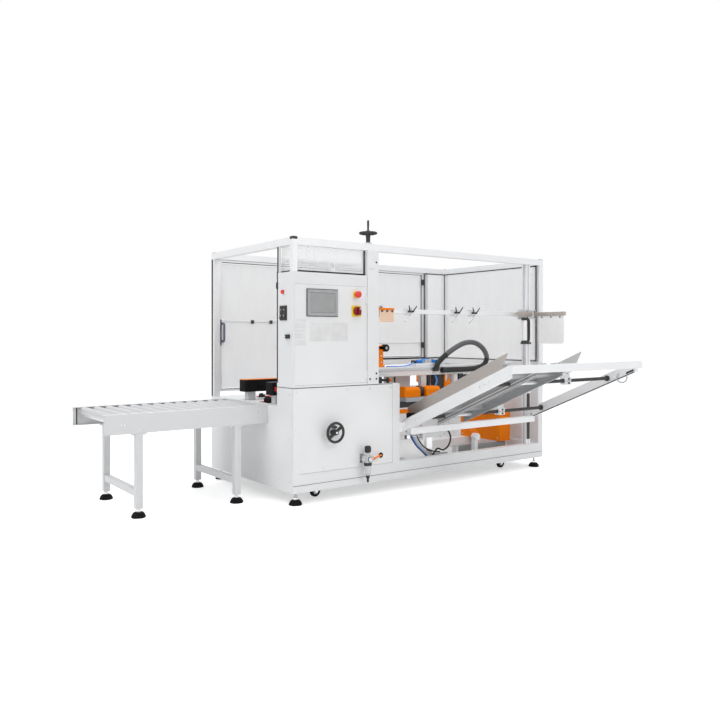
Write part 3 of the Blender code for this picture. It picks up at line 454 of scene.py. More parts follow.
class Shape:
    """A mesh built up from solids in the machine frame, which becomes one piece."""

    def __init__(self) -> None:
        """Starts empty."""
        self.bm = bmesh.new()

    def box(self, low: Point, high: Point, turn: Optional[Matrix] = None) -> "Shape":
        """A box between two corners, turned about its middle where turn is given."""
        low, high = Vector(low), Vector(high)
        place = Matrix.Translation((low + high) / 2) @ (turn or Matrix.Identity(4))
        bmesh.ops.create_cube(self.bm, size=1, matrix=place @ Matrix.Diagonal((*(high - low), 1)))
        return self

    def rod(self, start: Point, end: Point, radius: float, sides: int = 24,
            tip: Optional[float] = None) -> "Shape":
        """A cylinder between two points, or a cone where tip gives its far radius."""
        start, end = Vector(start), Vector(end)
        run = end - start
        place = Matrix.Translation((start + end) / 2) @ facing(run)
        bmesh.ops.create_cone(self.bm, cap_ends=True, segments=sides, radius1=radius,
            radius2=radius if tip is None else tip, depth=run.length, matrix=place)
        return self

    def turned(self, profile: Sequence[tuple[float, float]], place: Point, towards: Point = (0, 0, 1),
            steps: int = 32) -> "Shape":
        """A turned solid.

        Args:
            profile: (radius, height) along its outline, from top to bottom.
            place: where height 0 lies on its axis.
            towards: the direction of its axis.
            steps: how many facets go round it.

        Returns:
            This shape.
        """
        matrix = Matrix.Translation(Vector(place)) @ facing(towards)
        rings = []
        for radius, height in profile:
            count = 1 if radius == 0 else steps
            rings.append([self.bm.verts.new(matrix @ Vector((radius * math.cos(math.tau * i / steps),
                radius * math.sin(math.tau * i / steps), height))) for i in range(count)])
        for upper, lower in zip(rings, rings[1:]):
            for i in range(steps):
                j = (i + 1) % steps
                corners = [lower[i % len(lower)], lower[j % len(lower)], upper[j % len(upper)],
                    upper[i % len(upper)]]
                corners = list(dict.fromkeys(corners))
                if len(corners) > 2:
                    self.bm.faces.new(corners)
        return self

    def ring(self, place: Point, towards: Point, radius: float, thick: float, steps: int = 40) -> "Shape":
        """A torus about an axis."""
        profile = [(radius + thick * math.cos(a), thick * math.sin(a))
            for a in (math.tau * i / 12 for i in range(12, -1, -1))]
        first = len(self.bm.verts)
        self.turned(profile, place, towards, steps)
        self.bm.verts.ensure_lookup_table()
        bmesh.ops.remove_doubles(self.bm, verts=self.bm.verts[first:], dist=0.000001)
        return self

    def tube(self, points: Sequence[Point], radius: float, sides: int = 12) -> "Shape":
        """A round tube along points, with closed ends."""
        places = [Vector(point) for point in points]
        side: Optional[Vector] = None
        rings = []
        for i, place in enumerate(places):
            run = (places[min(i + 1, len(places) - 1)] - places[max(i - 1, 0)]).normalized()
            if side is None:
                side = run.orthogonal().normalized()
            side = (side - run * side.dot(run)).normalized()
            over = run.cross(side)
            rings.append([self.bm.verts.new(place + radius * (side * math.cos(math.tau * k / sides) + over
                * math.sin(math.tau * k / sides))) for k in range(sides)])
        for first, second in zip(rings, rings[1:]):
            for k in range(sides):
                j = (k + 1) % sides
                self.bm.faces.new((first[k], first[j], second[j], second[k]))
        self.bm.faces.new(list(reversed(rings[0])))
        self.bm.faces.new(rings[-1])
        return self

    def prism(self, axis: str, start: float, end: float, outline: Sequence[tuple[float, float]]) -> "Shape":
        """A flat outline extruded along an axis; its points are (Y, Z), (X, Z) or (X, Y)."""
        place = {"X": lambda a, u, v: (a, u, v), "Y": lambda a, u, v: (u, a, v), "Z": lambda a, u,
            v: (u, v, a)}[axis]
        near = [self.bm.verts.new(place(start, u, v)) for u, v in outline]
        far = [self.bm.verts.new(place(end, u, v)) for u, v in outline]
        self.bm.faces.new(near)
        self.bm.faces.new(list(reversed(far)))
        for i in range(len(outline)):
            j = (i + 1) % len(outline)
            self.bm.faces.new((near[j], near[i], far[i], far[j]))
        return self

    def piece(self, name: str, finish: Finish, body: str = "body", bevel: float = 0.0008,
            replaces: Sequence[str] = (), flat: float = 35.0) -> bpy.types.Object:
        """Makes the mesh a piece that rides on a body.

        Args:
            name: the piece's name.
            finish: its finish.
            body: the CAD body that it moves with.
            bevel: the width of its rounded edges; 0 for none.
            replaces: CAD nodes that it stands for.
            flat: the angle, in degrees, over which an edge stays sharp.

        Returns:
            The object.
        """
        bmesh.ops.recalc_face_normals(self.bm, faces=self.bm.faces)
        bmesh.ops.translate(self.bm, verts=self.bm.verts, vec=Site.origin)
        mesh = bpy.data.meshes.new(name)
        self.bm.to_mesh(mesh)
        self.bm.free()
        mesh.materials.append(finish.material())
        obj = bpy.data.objects.new(name, mesh)
        bpy.context.scene.collection.objects.link(obj)
        soften(obj, bevel, flat)
        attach(obj, body)
        if replaces:
            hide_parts(*replaces)
        return obj


def soften(obj: bpy.types.Object, bevel: float, flat: float = 35.0) -> None:
    """Shades an object smooth between its sharp edges, and rounds those edges."""
    obj.data.shade_smooth()
    obj.data.set_sharp_from_angle(angle=math.radians(flat))
    if bevel:
        modifier = obj.modifiers.new("round", "BEVEL")
        modifier.width = bevel
        modifier.segments = 2
        modifier.limit_method = "ANGLE"
        modifier.angle_limit = math.radians(flat)
        modifier.harden_normals = True


def smooth_line(route: Sequence[Point], steps: int = 6) -> list[Vector]:
    """Points along a Catmull-Rom curve through a route."""
    places = [Vector(point) for point in route]
    places = [2 * places[0] - places[1], *places, 2 * places[-1] - places[-2]]
    points = []
    for a, b, c, d in zip(places, places[1:], places[2:], places[3:]):
        for step in range(steps):
            t = step / steps
            points.append(0.5 * (2 * b + (c - a) * t + (2 * a - 5 * b + 4 * c - d) * t ** 2
                + (3 * b - a - 3 * c + d) * t ** 3))
    return [*points, places[-2]]


def dress(nodes: dict[str, bpy.types.Object], name: str, finish: Finish, bevel: float = 0.0) -> None:
    """Gives a CAD node its finish and rounds its edges."""
    obj = nodes[name]
    obj.data.materials.clear()
    obj.data.materials.append(finish.material())
    if bevel:
        soften(obj, bevel)
    LOG.info("dressed %s", name)


def screws(places: Iterable[Point], towards: Point, radius: float = 0.006, proud: float = 0.003) -> Shape:
    """Socket-head screws standing on a surface."""
    shape = Shape()
    for place in places:
        shape.turned([(0, proud * 0.35), (radius * 0.5, proud * 0.35), (radius * 0.5, proud),
            (radius * 0.85, proud), (radius, proud * 0.6), (radius, -0.001), (0, -0.001)], place, towards,
            14)
    return shape


# ---------------------------------------------------------------- feet, casters, conveyor

@dataclass
class Footing:
    """Levelling feet and casters."""

    pad: float = 0.036
    stem: float = 0.007
    nut: float = 0.0125
    nodes: dict[str, bpy.types.Object] = field(default_factory=dict)

    def foot(self, name: str) -> None:
        """One levelling foot: a domed rubber pad, a nut and a threaded stem."""
        low, high = Site.box(name)
        x, y, top = (low.x + high.x) / 2, (low.y + high.y) / 2, high.z
        pad = self.pad
        profile = [(0, 0.029), (pad * 0.36, 0.029), (pad * 0.5, 0.0285), (pad * 0.66, 0.026),
            (pad * 0.82, 0.02), (pad * 0.93, 0.013), (pad * 0.97, 0.01), (pad * 0.965, 0.0085),
            (pad, 0.007), (pad, 0.0015), (pad * 0.97, 0.0), (0, 0.0)]
        Shape().turned(profile, (x, y, 0), steps=40).piece(f"{name}_pad", RUBBER, bevel=0, replaces=[name])
        stem = [(0, top)]
        turns = int((top - 0.03) / 0.002)
        for i in range(turns):
            height = top - i * 0.002
            stem += [(self.stem, height), (self.stem - 0.0012, height - 0.001)]
        stem += [(self.stem, 0.03), (self.stem, 0.022), (0, 0.022)]
        shape = Shape().turned(stem, (x, y, 0), steps=14)
        shape.turned([(0, 0.041), (self.nut - 0.001, 0.041), (self.nut, 0.04), (self.nut, 0.032),
            (0.014, 0.031), (0.014, 0.0285), (0, 0.0285)], (x, y, 0), steps=6)
        shape.turned([(0, top), (self.nut, top), (self.nut, top - 0.006), (0, top - 0.006)], (x, y, 0),
            steps=6)
        shape.piece(f"{name}_stem", BRIGHT, bevel=0)

    def caster(self, name: str, fork: str, wheel: Optional[str], body: str, wheel_body: str) -> None:
        """One caster: a pressed fork with its swivel and kingpin, and a wheel with a hub and tread."""
        low, high = Site.box(fork)
        y = (low.y + high.y) / 2
        swivel_x = low.x + 0.024
        axle = Vector((swivel_x + 0.014, y, 0.044))
        top = high.z
        shape = Shape().turned([(0, top), (0.024, top), (0.025, top - 0.004), (0.021, top - 0.011),
            (0.021, top - 0.013), (0, top - 0.013)], (swivel_x, y, 0), steps=28)
        half = 0.0125
        for side in (-1, 1):
            face = y + side * (half + 0.0018)
            outline = [(swivel_x - 0.018, top - 0.012), (swivel_x + 0.02, top - 0.012),
                (axle.x + 0.012, axle.z + 0.008), (axle.x + 0.009, axle.z - 0.008),
                (axle.x - 0.007, axle.z - 0.009), (axle.x - 0.011, axle.z + 0.004),
                (swivel_x - 0.018, top - 0.03)]
            shape.prism("Y", face - 0.0012, face + 0.0012, outline)
        shape.box((swivel_x - 0.018, y - half - 0.003, top - 0.0145),
            (swivel_x + 0.02, y + half + 0.003, top - 0.0115))
        shape.rod((axle.x, y - half - 0.007, axle.z), (axle.x, y + half + 0.007, axle.z), 0.006, 6)
        shape.piece(f"{name}_fork", BRIGHT, body, bevel=0.0004, replaces=[fork])
        tread = [(0, 0.011), (0.018, 0.011), (0.0235, 0.0105), (0.03, 0.0095), (0.0325, 0.006),
            (0.033, 0.0), (0.0325, -0.006), (0.03, -0.0095), (0.0235, -0.0105), (0.018, -0.011),
            (0, -0.011)]
        rubber = Shape().turned([(r, h) for r, h in tread[1:-1]] + [(0.018, 0.011)], axle, (0, 1, 0), 40)
        rubber.piece(f"{name}_tread", RUBBER, wheel_body, bevel=0, replaces=[wheel] if wheel else [])
        hub = Shape().turned([(0, 0.0115), (0.008, 0.0115), (0.009, 0.0085), (0.0185, 0.0075),
            (0.0185, -0.0075), (0.009, -0.0085), (0.008, -0.0115), (0, -0.0115)], axle, (0, 1, 0), 28)
        for i in range(5):
            turn = math.tau * i / 5
            middle = axle + Vector((math.cos(turn) * 0.0135, 0, math.sin(turn) * 0.0135))
            hub.box(middle - Vector((0.005, 0.0098, 0.0018)), middle + Vector((0.005, 0.0098, 0.0018)),
                Matrix.Rotation(-turn, 4, "Y"))
        hub.piece(f"{name}_hub", PALE_GREY, wheel_body, bevel=0.0003)

    def build(self) -> None:
        """Makes them all."""
        for name in sorted(self.nodes):
            if name.startswith(("foot_", "conveyor_foot_")):
                self.foot(name)
        for side in ("left", "right"):
            front = f"front_{side}"
            self.caster(f"caster_{front}", f"caster_fork_{front}", f"caster_wheel_{front}",
                f"caster_fork_{front}", f"caster_wheel_{front}")
            rear = f"caster_rear_{side}"
            self.caster(rear, rear, None, rear, rear)
        LOG.info("feet and casters")


@dataclass
class Conveyor:
    """The gravity roller conveyor at the outfeed."""

    sheet: float = 0.003
    flange: float = 0.03
    axle: float = 0.0055
    rollers: int = 13

    def build(self, nodes: dict[str, bpy.types.Object]) -> None:
        """Dresses the rails and legs, and makes each roller with its ends and axle."""
        # The rails and legs take the darker copy of the white paint: painted shade.
        dress(nodes, "conveyor_frame", SHADED_CONVEYOR_WHITE, 0.0007)
        for leg in ("outer", "inner"):
            dress(nodes, f"conveyor_leg_{leg}", SHADED_CONVEYOR_WHITE, 0.002)
        for number in range(1, self.rollers + 1):
            self.roller(f"roller_{number:02d}")
        self.fittings()
        LOG.info("conveyor")

    def roller(self, name: str) -> None:
        """A zinc tube with its rolled-in ends, black bearing seals and a hexagon axle."""
        low, high = Site.box(name)
        middle = (low + high) / 2
        radius = (high.x - low.x) / 2
        half = (high.y - low.y) / 2
        tube = half - self.flange - self.sheet - 0.003
        end = [(radius - 0.006, tube - 0.002), (radius - 0.005, tube), (radius - 0.002, tube),
            (radius - 0.0003, tube - 0.002), (radius, tube - 0.004)]
        profile = [(0, tube - 0.004), (radius - 0.006, tube - 0.004), *end]
        profile += [(r, -h) for r, h in reversed(profile)]
        Shape().turned(profile, middle, (0, 1, 0), 36).piece(f"{name}_tube", ZINC, name, bevel=0,
            replaces=[name])
        seals = Shape()
        for side in (-1, 1):
            seals.turned([(0, 0.0045), (0.01, 0.0045), (0.011, 0.003), (radius - 0.0065, 0.002),
                (radius - 0.0065, -0.002), (0, -0.002)], middle + Vector((0, side * (tube - 0.002), 0)),
                (0, side, 0), 24)
        seals.piece(f"{name}_seals", BLACK, name, bevel=0)
        half -= self.sheet + 0.0006
        axle = Shape().rod(middle - Vector((0, half, 0)), middle + Vector((0, half, 0)), self.axle, 6)
        axle.piece(f"{name}_axle", BRIGHT, name, bevel=0.0003)

    def fittings(self) -> None:
        """Screws and end lips on the rails, and the ends of the cross ties."""
        low, high = Site.box("conveyor_frame")
        # The front sheet takes the same darker white: painted shade.
        Shape().box((low.x + 0.0008, low.y - 0.0008, low.z + 0.0008),
            (high.x - 0.0008, low.y - 0.0001, high.z - 0.0008)).piece("conveyor_front_sheet", SHADED_CONVEYOR_WHITE,
            bevel=0)
        heads = screws([(x, low.y - 0.0008, low.z + dz) for x, dz in ((low.x + 0.085, 0.045),
            (low.x + 0.1, 0.045), (high.x - 0.06, 0.062), (high.x - 0.06, 0.036), (-0.185, 0.016),
            (-0.735, 0.016))], (0, -1, 0), 0.0042, 0.0016)
        heads.piece("conveyor_rail_screws_front", BRIGHT, bevel=0)
        heads = screws([(x, high.y, low.z + dz) for x, dz in ((low.x + 0.025, 0.075),
            (low.x + 0.025, 0.025), (high.x - 0.025, 0.078), (high.x - 0.025, 0.024), (-0.185, 0.016),
            (-0.735, 0.016))], (0, 1, 0), 0.0055)
        heads.piece("conveyor_rail_screws_rear", BRIGHT, bevel=0)
        inner = Shape()
        for y, side in ((low.y + self.sheet, 1), (high.y - self.sheet, -1)):
            edge = y + side * 0.0012
            inner.box((low.x + 0.018, min(y, edge), low.z + self.sheet),
                (low.x + 0.024, max(y, edge), high.z - self.sheet))
        inner.piece("conveyor_rail_liners", GASKET, bevel=0)
        for leg in ("outer", "inner"):
            leg_low, leg_high = Site.box(f"conveyor_leg_{leg}")
            middle = (leg_low.x + leg_high.x) / 2
            bolts = Shape()
            for x in (middle - 0.03, middle + 0.03):
                for y in (leg_low.y + 0.018, leg_high.y - 0.018):
                    bolts.rod((x, y, leg_high.z - 0.0052), (x, y, leg_high.z - 0.011), 0.0055, 6)
            bolts.piece(f"conveyor_leg_{leg}_bolts", BRIGHT, bevel=0.0003)


# ---------------------------------------------------------------- body

@dataclass
class Body:
    """The welded base with its sheets and front fittings."""

    wheel_place: tuple[float, float] = (0.252, 0.385)
    wheel_radius: float = 0.06
    hose_hole: tuple[float, float] = (0.6, 0.222)

    def build(self, nodes: dict[str, bpy.types.Object]) -> None:
        """Dresses the frame and sheets, and makes the fittings on the front."""
        dress(nodes, "base_frame", WHITE, 0.0012)
        dress(nodes, "front_panel", DOOR_WHITE, 0.0006)
        dress(nodes, "lower_cladding", WHITE, 0.0006)
        self.seams()
        self.side_handwheel()
        self.air_unit()
        LOG.info("body")

    def seams(self) -> None:
        """Shadow seams, the ring's lower edge, and panel screws."""
        ring, _ = Site.box("base_frame")
        panel_low, panel_high = Site.box("front_panel")
        face = ring.y
        end = 2.05 - 0.0023
        edge = Shape().box((0.003, face - 0.001, 0.1085), (end, face + 0.001, 0.1105))
        edge.box((panel_high.x + 0.0002, face - 0.0014, panel_low.z - 0.002),
            (panel_high.x + 0.0016, face + 0.001, panel_high.z))
        edge.box((0.002, -0.0008, panel_high.z + 0.0004), (panel_high.x, 0.0015, panel_high.z + 0.0032))
        edge.piece("panel_seams", GASKET, bevel=0)
        places = [(x, 0.0, z) for x in (0.022, panel_high.x - 0.016) for z in (0.19, 0.4, 0.615)]
        places += [(x, 0.0, z) for x in (0.2, 0.36, 0.52) for z in (0.19, 0.615)]
        screws(places, (0, -1, 0), 0.0045, 0.0022).piece("front_panel_screws", BRIGHT, bevel=0)
        heads = [(0.0, y, z) for y in (0.03, 0.14) for z in (0.13, 0.36, 0.6)]
        heads += [(0.0, y, z) for y in (0.42, 0.7, 0.96) for z in (0.13, 0.5)]
        screws(heads, (-1, 0, 0), 0.0045, 0.0022).piece("left_sheet_screws", BRIGHT, bevel=0)

    def side_handwheel(self) -> None:
        """A black dished wheel with one broad spoke, a hub and a turning grip."""
        x, z = self.wheel_place
        rim = self.wheel_radius - 0.0075
        low, _ = Site.box("side_handwheel")
        plane = -0.04
        wheel = Shape().ring((x, plane, z), (0, -1, 0), rim, 0.0075, 48)
        wheel.turned([(0, 0.052), (0.012, 0.052), (0.014, 0.05), (0.017, 0.034), (0.019, 0.026),
            (0.015, 0.02), (0.013, 0.004), (0, 0.004)], (x, 0, z), (0, -1, 0), 32)
        for turn in (math.radians(35), math.radians(215)):
            reach = Vector((math.cos(turn), 0, math.sin(turn)))
            middle = Vector((x, plane + 0.002, z)) + reach * (rim * 0.55)
            wheel.box(middle - Vector((rim * 0.52, 0.0035, 0.0085)),
                middle + Vector((rim * 0.52, 0.0035, 0.0085)), Matrix.Rotation(-turn, 4, "Y"))
        wheel.piece("side_handwheel_rim", BLACK, "side_handwheel", bevel=0.0008,
            replaces=["side_handwheel"])
        grip_x, grip_z = x - 0.036, z + 0.038
        Shape().turned([(0, 0.056), (0.007, 0.055), (0.0095, 0.048), (0.0088, 0.026), (0.0065, 0.008),
            (0.0075, 0.004), (0.0075, 0), (0, 0)], (grip_x, plane - 0.002, grip_z), (0, -1, 0),
            24).piece("side_handwheel_grip", BLACK, "side_handwheel", bevel=0)
        Shape().turned([(0, 0.0535), (0.006, 0.0535), (0.0065, 0.052), (0, 0.052)], (x, 0, z), (0, -1, 0),
            20).piece("side_handwheel_cap", BRIGHT, "side_handwheel", bevel=0)
        Shape().turned([(0, 0.005), (0.02, 0.005), (0.022, 0.003), (0.022, 0.0003), (0, 0.0003)], (x, 0, z),
            (0, -1, 0), 36).piece("side_handwheel_collar", PALE_GREY, bevel=0)
        LOG.info("hand wheel reaches Y %.3f", low.y)

    def air_unit(self) -> None:
        """The air filter regulator: ribbed knob, grey head, clear bowl, drain, hose and grommet."""
        low, high = Site.box("air_unit")
        x = (low.x + high.x) / 2
        y = low.y + 0.024
        top = high.z
        knob = Shape().turned([(0, top), (0.012, top), (0.0165, top - 0.003), (0.0175, top - 0.006),
            (0.0175, top - 0.032), (0.016, top - 0.036), (0, top - 0.036)], (x, y, 0), steps=32)
        for i in range(18):
            turn = math.tau * i / 18
            middle = Vector((x + 0.0175 * math.cos(turn), y + 0.0175 * math.sin(turn), top - 0.02))
            knob.box(middle - Vector((0.0008, 0.0012, 0.011)), middle + Vector((0.0008, 0.0012, 0.011)),
                Matrix.Rotation(turn, 4, "Z"))
        knob.piece("regulator_knob", BLACK, bevel=0, replaces=["air_unit"])
        head = Shape().box((x - 0.023, y - 0.021, top - 0.094), (x + 0.023, y + 0.021, top - 0.056))
        head.turned([(0, top - 0.038), (0.0135, top - 0.038), (0.0145, top - 0.057), (0, top - 0.057)],
            (x, y, 0))
        head.rod((x - 0.036, y, top - 0.076), (x + 0.036, y, top - 0.076), 0.012)
        head.piece("regulator_head", PALE_GREY, bevel=0.003)
        collar = Shape().turned([(0, top - 0.094), (0.0215, top - 0.094), (0.0225, top - 0.097),
            (0.0225, top - 0.11), (0.0205, top - 0.112), (0, top - 0.112)], (x, y, 0))
        collar.turned([(0, 0.004), (0.014, 0.004), (0.0155, 0.002), (0.0155, 0.0), (0, 0.0)],
            (x, y - 0.021, top - 0.075), (0, -1, 0))
        collar.turned([(0, top - 0.166), (0.012, top - 0.166), (0.01, top - 0.182), (0.0065, top - 0.186),
            (0.0065, low.z), (0, low.z)], (x, y, 0), steps=24)
        collar.piece("regulator_collars", BLACK, bevel=0)
        Shape().turned([(0, top - 0.111), (0.0185, top - 0.111), (0.019, top - 0.15), (0.0165, top - 0.162),
            (0.011, top - 0.168), (0, top - 0.168)], (x, y, 0)).piece("regulator_bowl", BOWL, bevel=0)
        Shape().turned([(0, 0.0012), (0.0125, 0.0012), (0.0125, 0), (0, 0)], (x, y - 0.0252, top - 0.075),
            (0, -1, 0)).piece("regulator_gauge_face", BLANK, bevel=0)
        bracket = Shape().box((x - 0.013, y + 0.018, top - 0.09), (x + 0.013, -0.0005, top - 0.06))
        bracket.box((x - 0.03, -0.0035, top - 0.098), (x + 0.03, -0.0005, top - 0.048))
        bracket.piece("regulator_bracket", BRIGHT, bevel=0.0008)
        hole_x, hole_z = self.hose_hole
        start_z = top - 0.076
        hose = smooth_line([(x + 0.034, y, start_z), (x + 0.05, y, start_z - 0.001),
            (x + 0.072, y + 0.003, start_z + 0.006), (hole_x - 0.018, y + 0.016, hole_z + 0.004),
            (hole_x - 0.004, -0.01, hole_z), (hole_x, 0.004, hole_z)])
        Shape().tube(hose, 0.0048, 12).piece("air_hose", ORANGE, bevel=0)
        Shape().rod((x + 0.034, y, start_z), (x + 0.047, y, start_z), 0.0095, 20).piece("air_hose_fitting",
            ORANGE, bevel=0.001)
        Shape().ring((hole_x, -0.001, hole_z), (0, -1, 0), 0.012, 0.0035,
            28).turned([(0, 0.0012), (0.012, 0.0012), (0.012, 0), (0, 0)], (hole_x, -0.0005, hole_z),
            (0, -1, 0)).piece("air_hose_grommet", RUBBER, bevel=0)


# ---------------------------------------------------------------- cabinet, column, guards

@dataclass
class Cabinet:
    """The control cabinet, its door and controls."""

    stop: tuple[float, float] = (0.421, 1.153)
    switch: tuple[float, float] = (0.421, 1.059)
    plate: float = 0.062
    door: str = "cabinet_door"

    def build(self, nodes: dict[str, bpy.types.Object]) -> None:
        """Dresses the cabinet and door, and makes what is on them."""
        dress(nodes, "control_cabinet", WHITE, 0.002)
        dress(nodes, "cabinet_door", DOOR_WHITE, 0.0015)
        self.screen()
        self.controls()
        self.left_face()
        self.door_trim()
        LOG.info("cabinet")

    def screen(self) -> None:
        """The touch screen: a dark rear frame, a stepped grey bezel and a matt glass."""
        low, high = Site.box("touch_screen")
        face = low.y
        rear = Shape().box((low.x, face + 0.0035, low.z), (high.x, high.y, high.z))
        rear.piece("screen_rear_frame", BLACK, self.door, bevel=0.002, replaces=["touch_screen"])
        bezel = Shape()
        step, wide = 0.004, 0.021
        for a, b in (((low.x + step, low.z + step), (low.x + wide, high.z - step)),
                ((high.x - wide, low.z + step), (high.x - step, high.z - step)),
                ((low.x + wide, low.z + step), (high.x - wide, low.z + wide)),
                ((low.x + wide, high.z - wide), (high.x - wide, high.z - step))):
            bezel.box((a[0], face, a[1]), (b[0], face + 0.004, b[1]))
        bezel.piece("screen_bezel", BEZEL, self.door, bevel=0)
        Shape().box((low.x + wide + 0.0012, face + 0.0018, low.z + wide + 0.0012),
            (high.x - wide - 0.0012, face + 0.004, high.z - wide - 0.0012)).piece("screen_glass_sheet",
            SCREEN, self.door, bevel=0)

    def controls(self) -> None:
        """The emergency stop with its yellow ring, and the main switch on its yellow plate."""
        x, z = self.stop
        Shape().turned([(0, 0.0055), (0.0192, 0.0055), (0.0205, 0.004), (0.0205, 0.0004), (0, 0.0004)],
            (x, 0, z), (0, -1, 0), 44).piece("emergency_stop_ring", YELLOW, self.door, bevel=0)
        head = [(0, 0.034), (0.009, 0.0338), (0.015, 0.0325), (0.0188, 0.029), (0.02, 0.0245),
            (0.0195, 0.02), (0.017, 0.0165), (0.0115, 0.015), (0.0105, 0.006), (0.01, -0.014), (0, -0.014)]
        Shape().turned(head, (x, 0, z), (0, -1, 0), 44).piece("emergency_stop_head", RED, "emergency_stop",
            bevel=0, replaces=["emergency_stop"])
        Shape().ring((x, -0.0155, z), (0, -1, 0), 0.0108, 0.0016, 32).piece("emergency_stop_collar", BLACK,
            self.door, bevel=0)
        x, z = self.switch
        half = self.plate / 2
        Shape().box((x - half, -0.0065, z - half), (x + half, -0.0004, z + half)).piece("main_switch_plate",
            YELLOW, self.door, bevel=0.002)
        knob = Shape().turned([(0, 0.023), (0.02, 0.023), (0.0235, 0.0215), (0.025, 0.017),
            (0.0258, 0.0095), (0.01, 0.009), (0.01, -0.014), (0, -0.014)], (x, 0, z), (0, -1, 0), 44)
        knob.piece("main_switch_hub", DARK_RED, "main_switch", bevel=0.0008, replaces=["main_switch"])
        grip = Shape().prism("Y", -0.0415, -0.021, [(x - 0.0075, z - 0.023), (x + 0.0075, z - 0.023),
            (x + 0.0085, z), (x + 0.006, z + 0.019), (x, z + 0.0245), (x - 0.006, z + 0.019),
            (x - 0.0085, z)])
        grip.piece("main_switch_grip", DARK_RED, "main_switch", bevel=0.0018)
        Shape().prism("Y", -0.0423, -0.0405, [(x - 0.005, z + 0.008), (x + 0.005, z + 0.008),
            (x, z + 0.021)]).piece("main_switch_pointer", PALE_ORANGE, "main_switch", bevel=0)

    def left_face(self) -> None:
        """The pilot lamp, double rocker switch and lock on the cabinet's left face."""
        y = 0.094
        Shape().turned([(0, 0.004), (0.0145, 0.004), (0.0155, 0.002), (0.0155, -0.001), (0, -0.001)],
            (0, y, 1.158), (-1, 0, 0), 32).piece("pilot_lamp_ring", BRIGHT, bevel=0)
        Shape().turned([(0, 0.017), (0.006, 0.0165), (0.0105, 0.0135), (0.012, 0.009), (0.0122, 0.003),
            (0, 0.003)], (0, y, 1.158), (-1, 0, 0), 32).piece("pilot_lamp_lens", RED, bevel=0)
        frame = Shape().box((-0.006, y - 0.036, 1.003), (0.001, y + 0.036, 1.083))
        frame.piece("rocker_frame", BLACK, bevel=0.002)
        for number, side in enumerate((-1, 1)):
            middle = y + side * 0.0165
            rocker = Shape().prism("Y", middle - 0.0125, middle + 0.0125,
                [(-0.0055, 1.011), (-0.0125, 1.012), (-0.008, 1.043), (-0.009, 1.0745), (-0.0055, 1.0755)])
            rocker.piece(f"rocker_{number + 1}", BLACK, bevel=0.001)
        marks = Shape()
        for side in (-1, 1):
            middle = y + side * 0.0165
            marks.box((-0.0102, middle - 0.006, 1.0585), (-0.008, middle + 0.006, 1.061))
            marks.box((-0.0118, middle - 0.0012, 1.024), (-0.01, middle + 0.0012, 1.033))
        marks.piece("rocker_marks", BLANK, bevel=0)
        _, back = Site.box("control_cabinet")
        Shape().box((-0.0012, back.y - 0.0095, 0.66), (0.0006, back.y + 0.0006, 1.272)).box((-0.006,
            back.y - 0.01, 1.178), (0.0006, back.y + 0.0008, 1.212)).piece("cabinet_rear_seam", GASKET,
            bevel=0)
        lock = Shape().box((-0.011, 0.026, 0.904), (0.001, 0.066, 0.926))
        lock.box((-0.021, 0.028, 0.908), (-0.009, 0.045, 0.922))
        lock.piece("cabinet_lock", BLACK, bevel=0.002)
        Shape().turned([(0, 0.0018), (0.006, 0.0018), (0.006, 0), (0, 0)], (-0.011, 0.056, 0.915),
            (-1, 0, 0), 20).piece("cabinet_lock_barrel", BRIGHT, bevel=0)

    def door_trim(self) -> None:
        """Hinges on the door's right, blank label plates, and the seam round the door."""
        low, high = Site.box("cabinet_door")
        for number, z in enumerate((0.695, 1.125)):
            x = high.x
            barrel = Shape().rod((x, low.y, z - 0.026), (x, low.y, z + 0.026), 0.0064, 20)
            barrel.piece(f"cabinet_hinge_{number + 1}", DOOR_WHITE, bevel=0.0006)
            pin = Shape().rod((x, low.y, z + 0.026), (x, low.y, z + 0.0285), 0.004, 14)
            pin.rod((x, low.y, z - 0.0285), (x, low.y, z - 0.026), 0.004, 14)
            pin.piece(f"cabinet_hinge_pin_{number + 1}", BRIGHT, bevel=0.0004)
        stickers = {"warning_label_1": (0.01, 0.085, 0.992, 1.01),
            "warning_label_2": (0.01, 0.085, 0.958, 0.986), "warning_label_3": (0.01, 0.085, 0.938, 0.953),
            "warning_label_4": (0.01, 0.085, 0.902, 0.932), "warning_label_5": (0.01, 0.085, 0.866, 0.897),
            "maker_plate": (0.102, 0.362, 0.888, 0.992)}
        for name, (x0, x1, z0, z1) in stickers.items():
            Shape().box((x0 + 0.006, -0.0006, z0), (x1, 0.0002, z1)).piece(name, BLANK, self.door, bevel=0)
        seam = Shape()
        rim, depth = 0.0024, 0.004
        for a, b in (((high.x, low.z - rim), (high.x + 0.0006, high.z + rim)),
                ((low.x - rim, low.z - rim), (high.x, low.z)), ((low.x, high.z), (high.x, high.z + rim))):
            seam.box((a[0], 0.0006, a[1]), (b[0], depth, b[1]))
        seam.piece("cabinet_door_seam", GASKET, bevel=0)
        Shape().box((-0.0004, -0.0006, 0.6355), (0.5855, 0.002, 0.6378)).box((-0.0006, 0.0, 0.6355),
            (0.002, 0.165, 0.6378)).piece("cabinet_base_seam", GASKET, bevel=0)


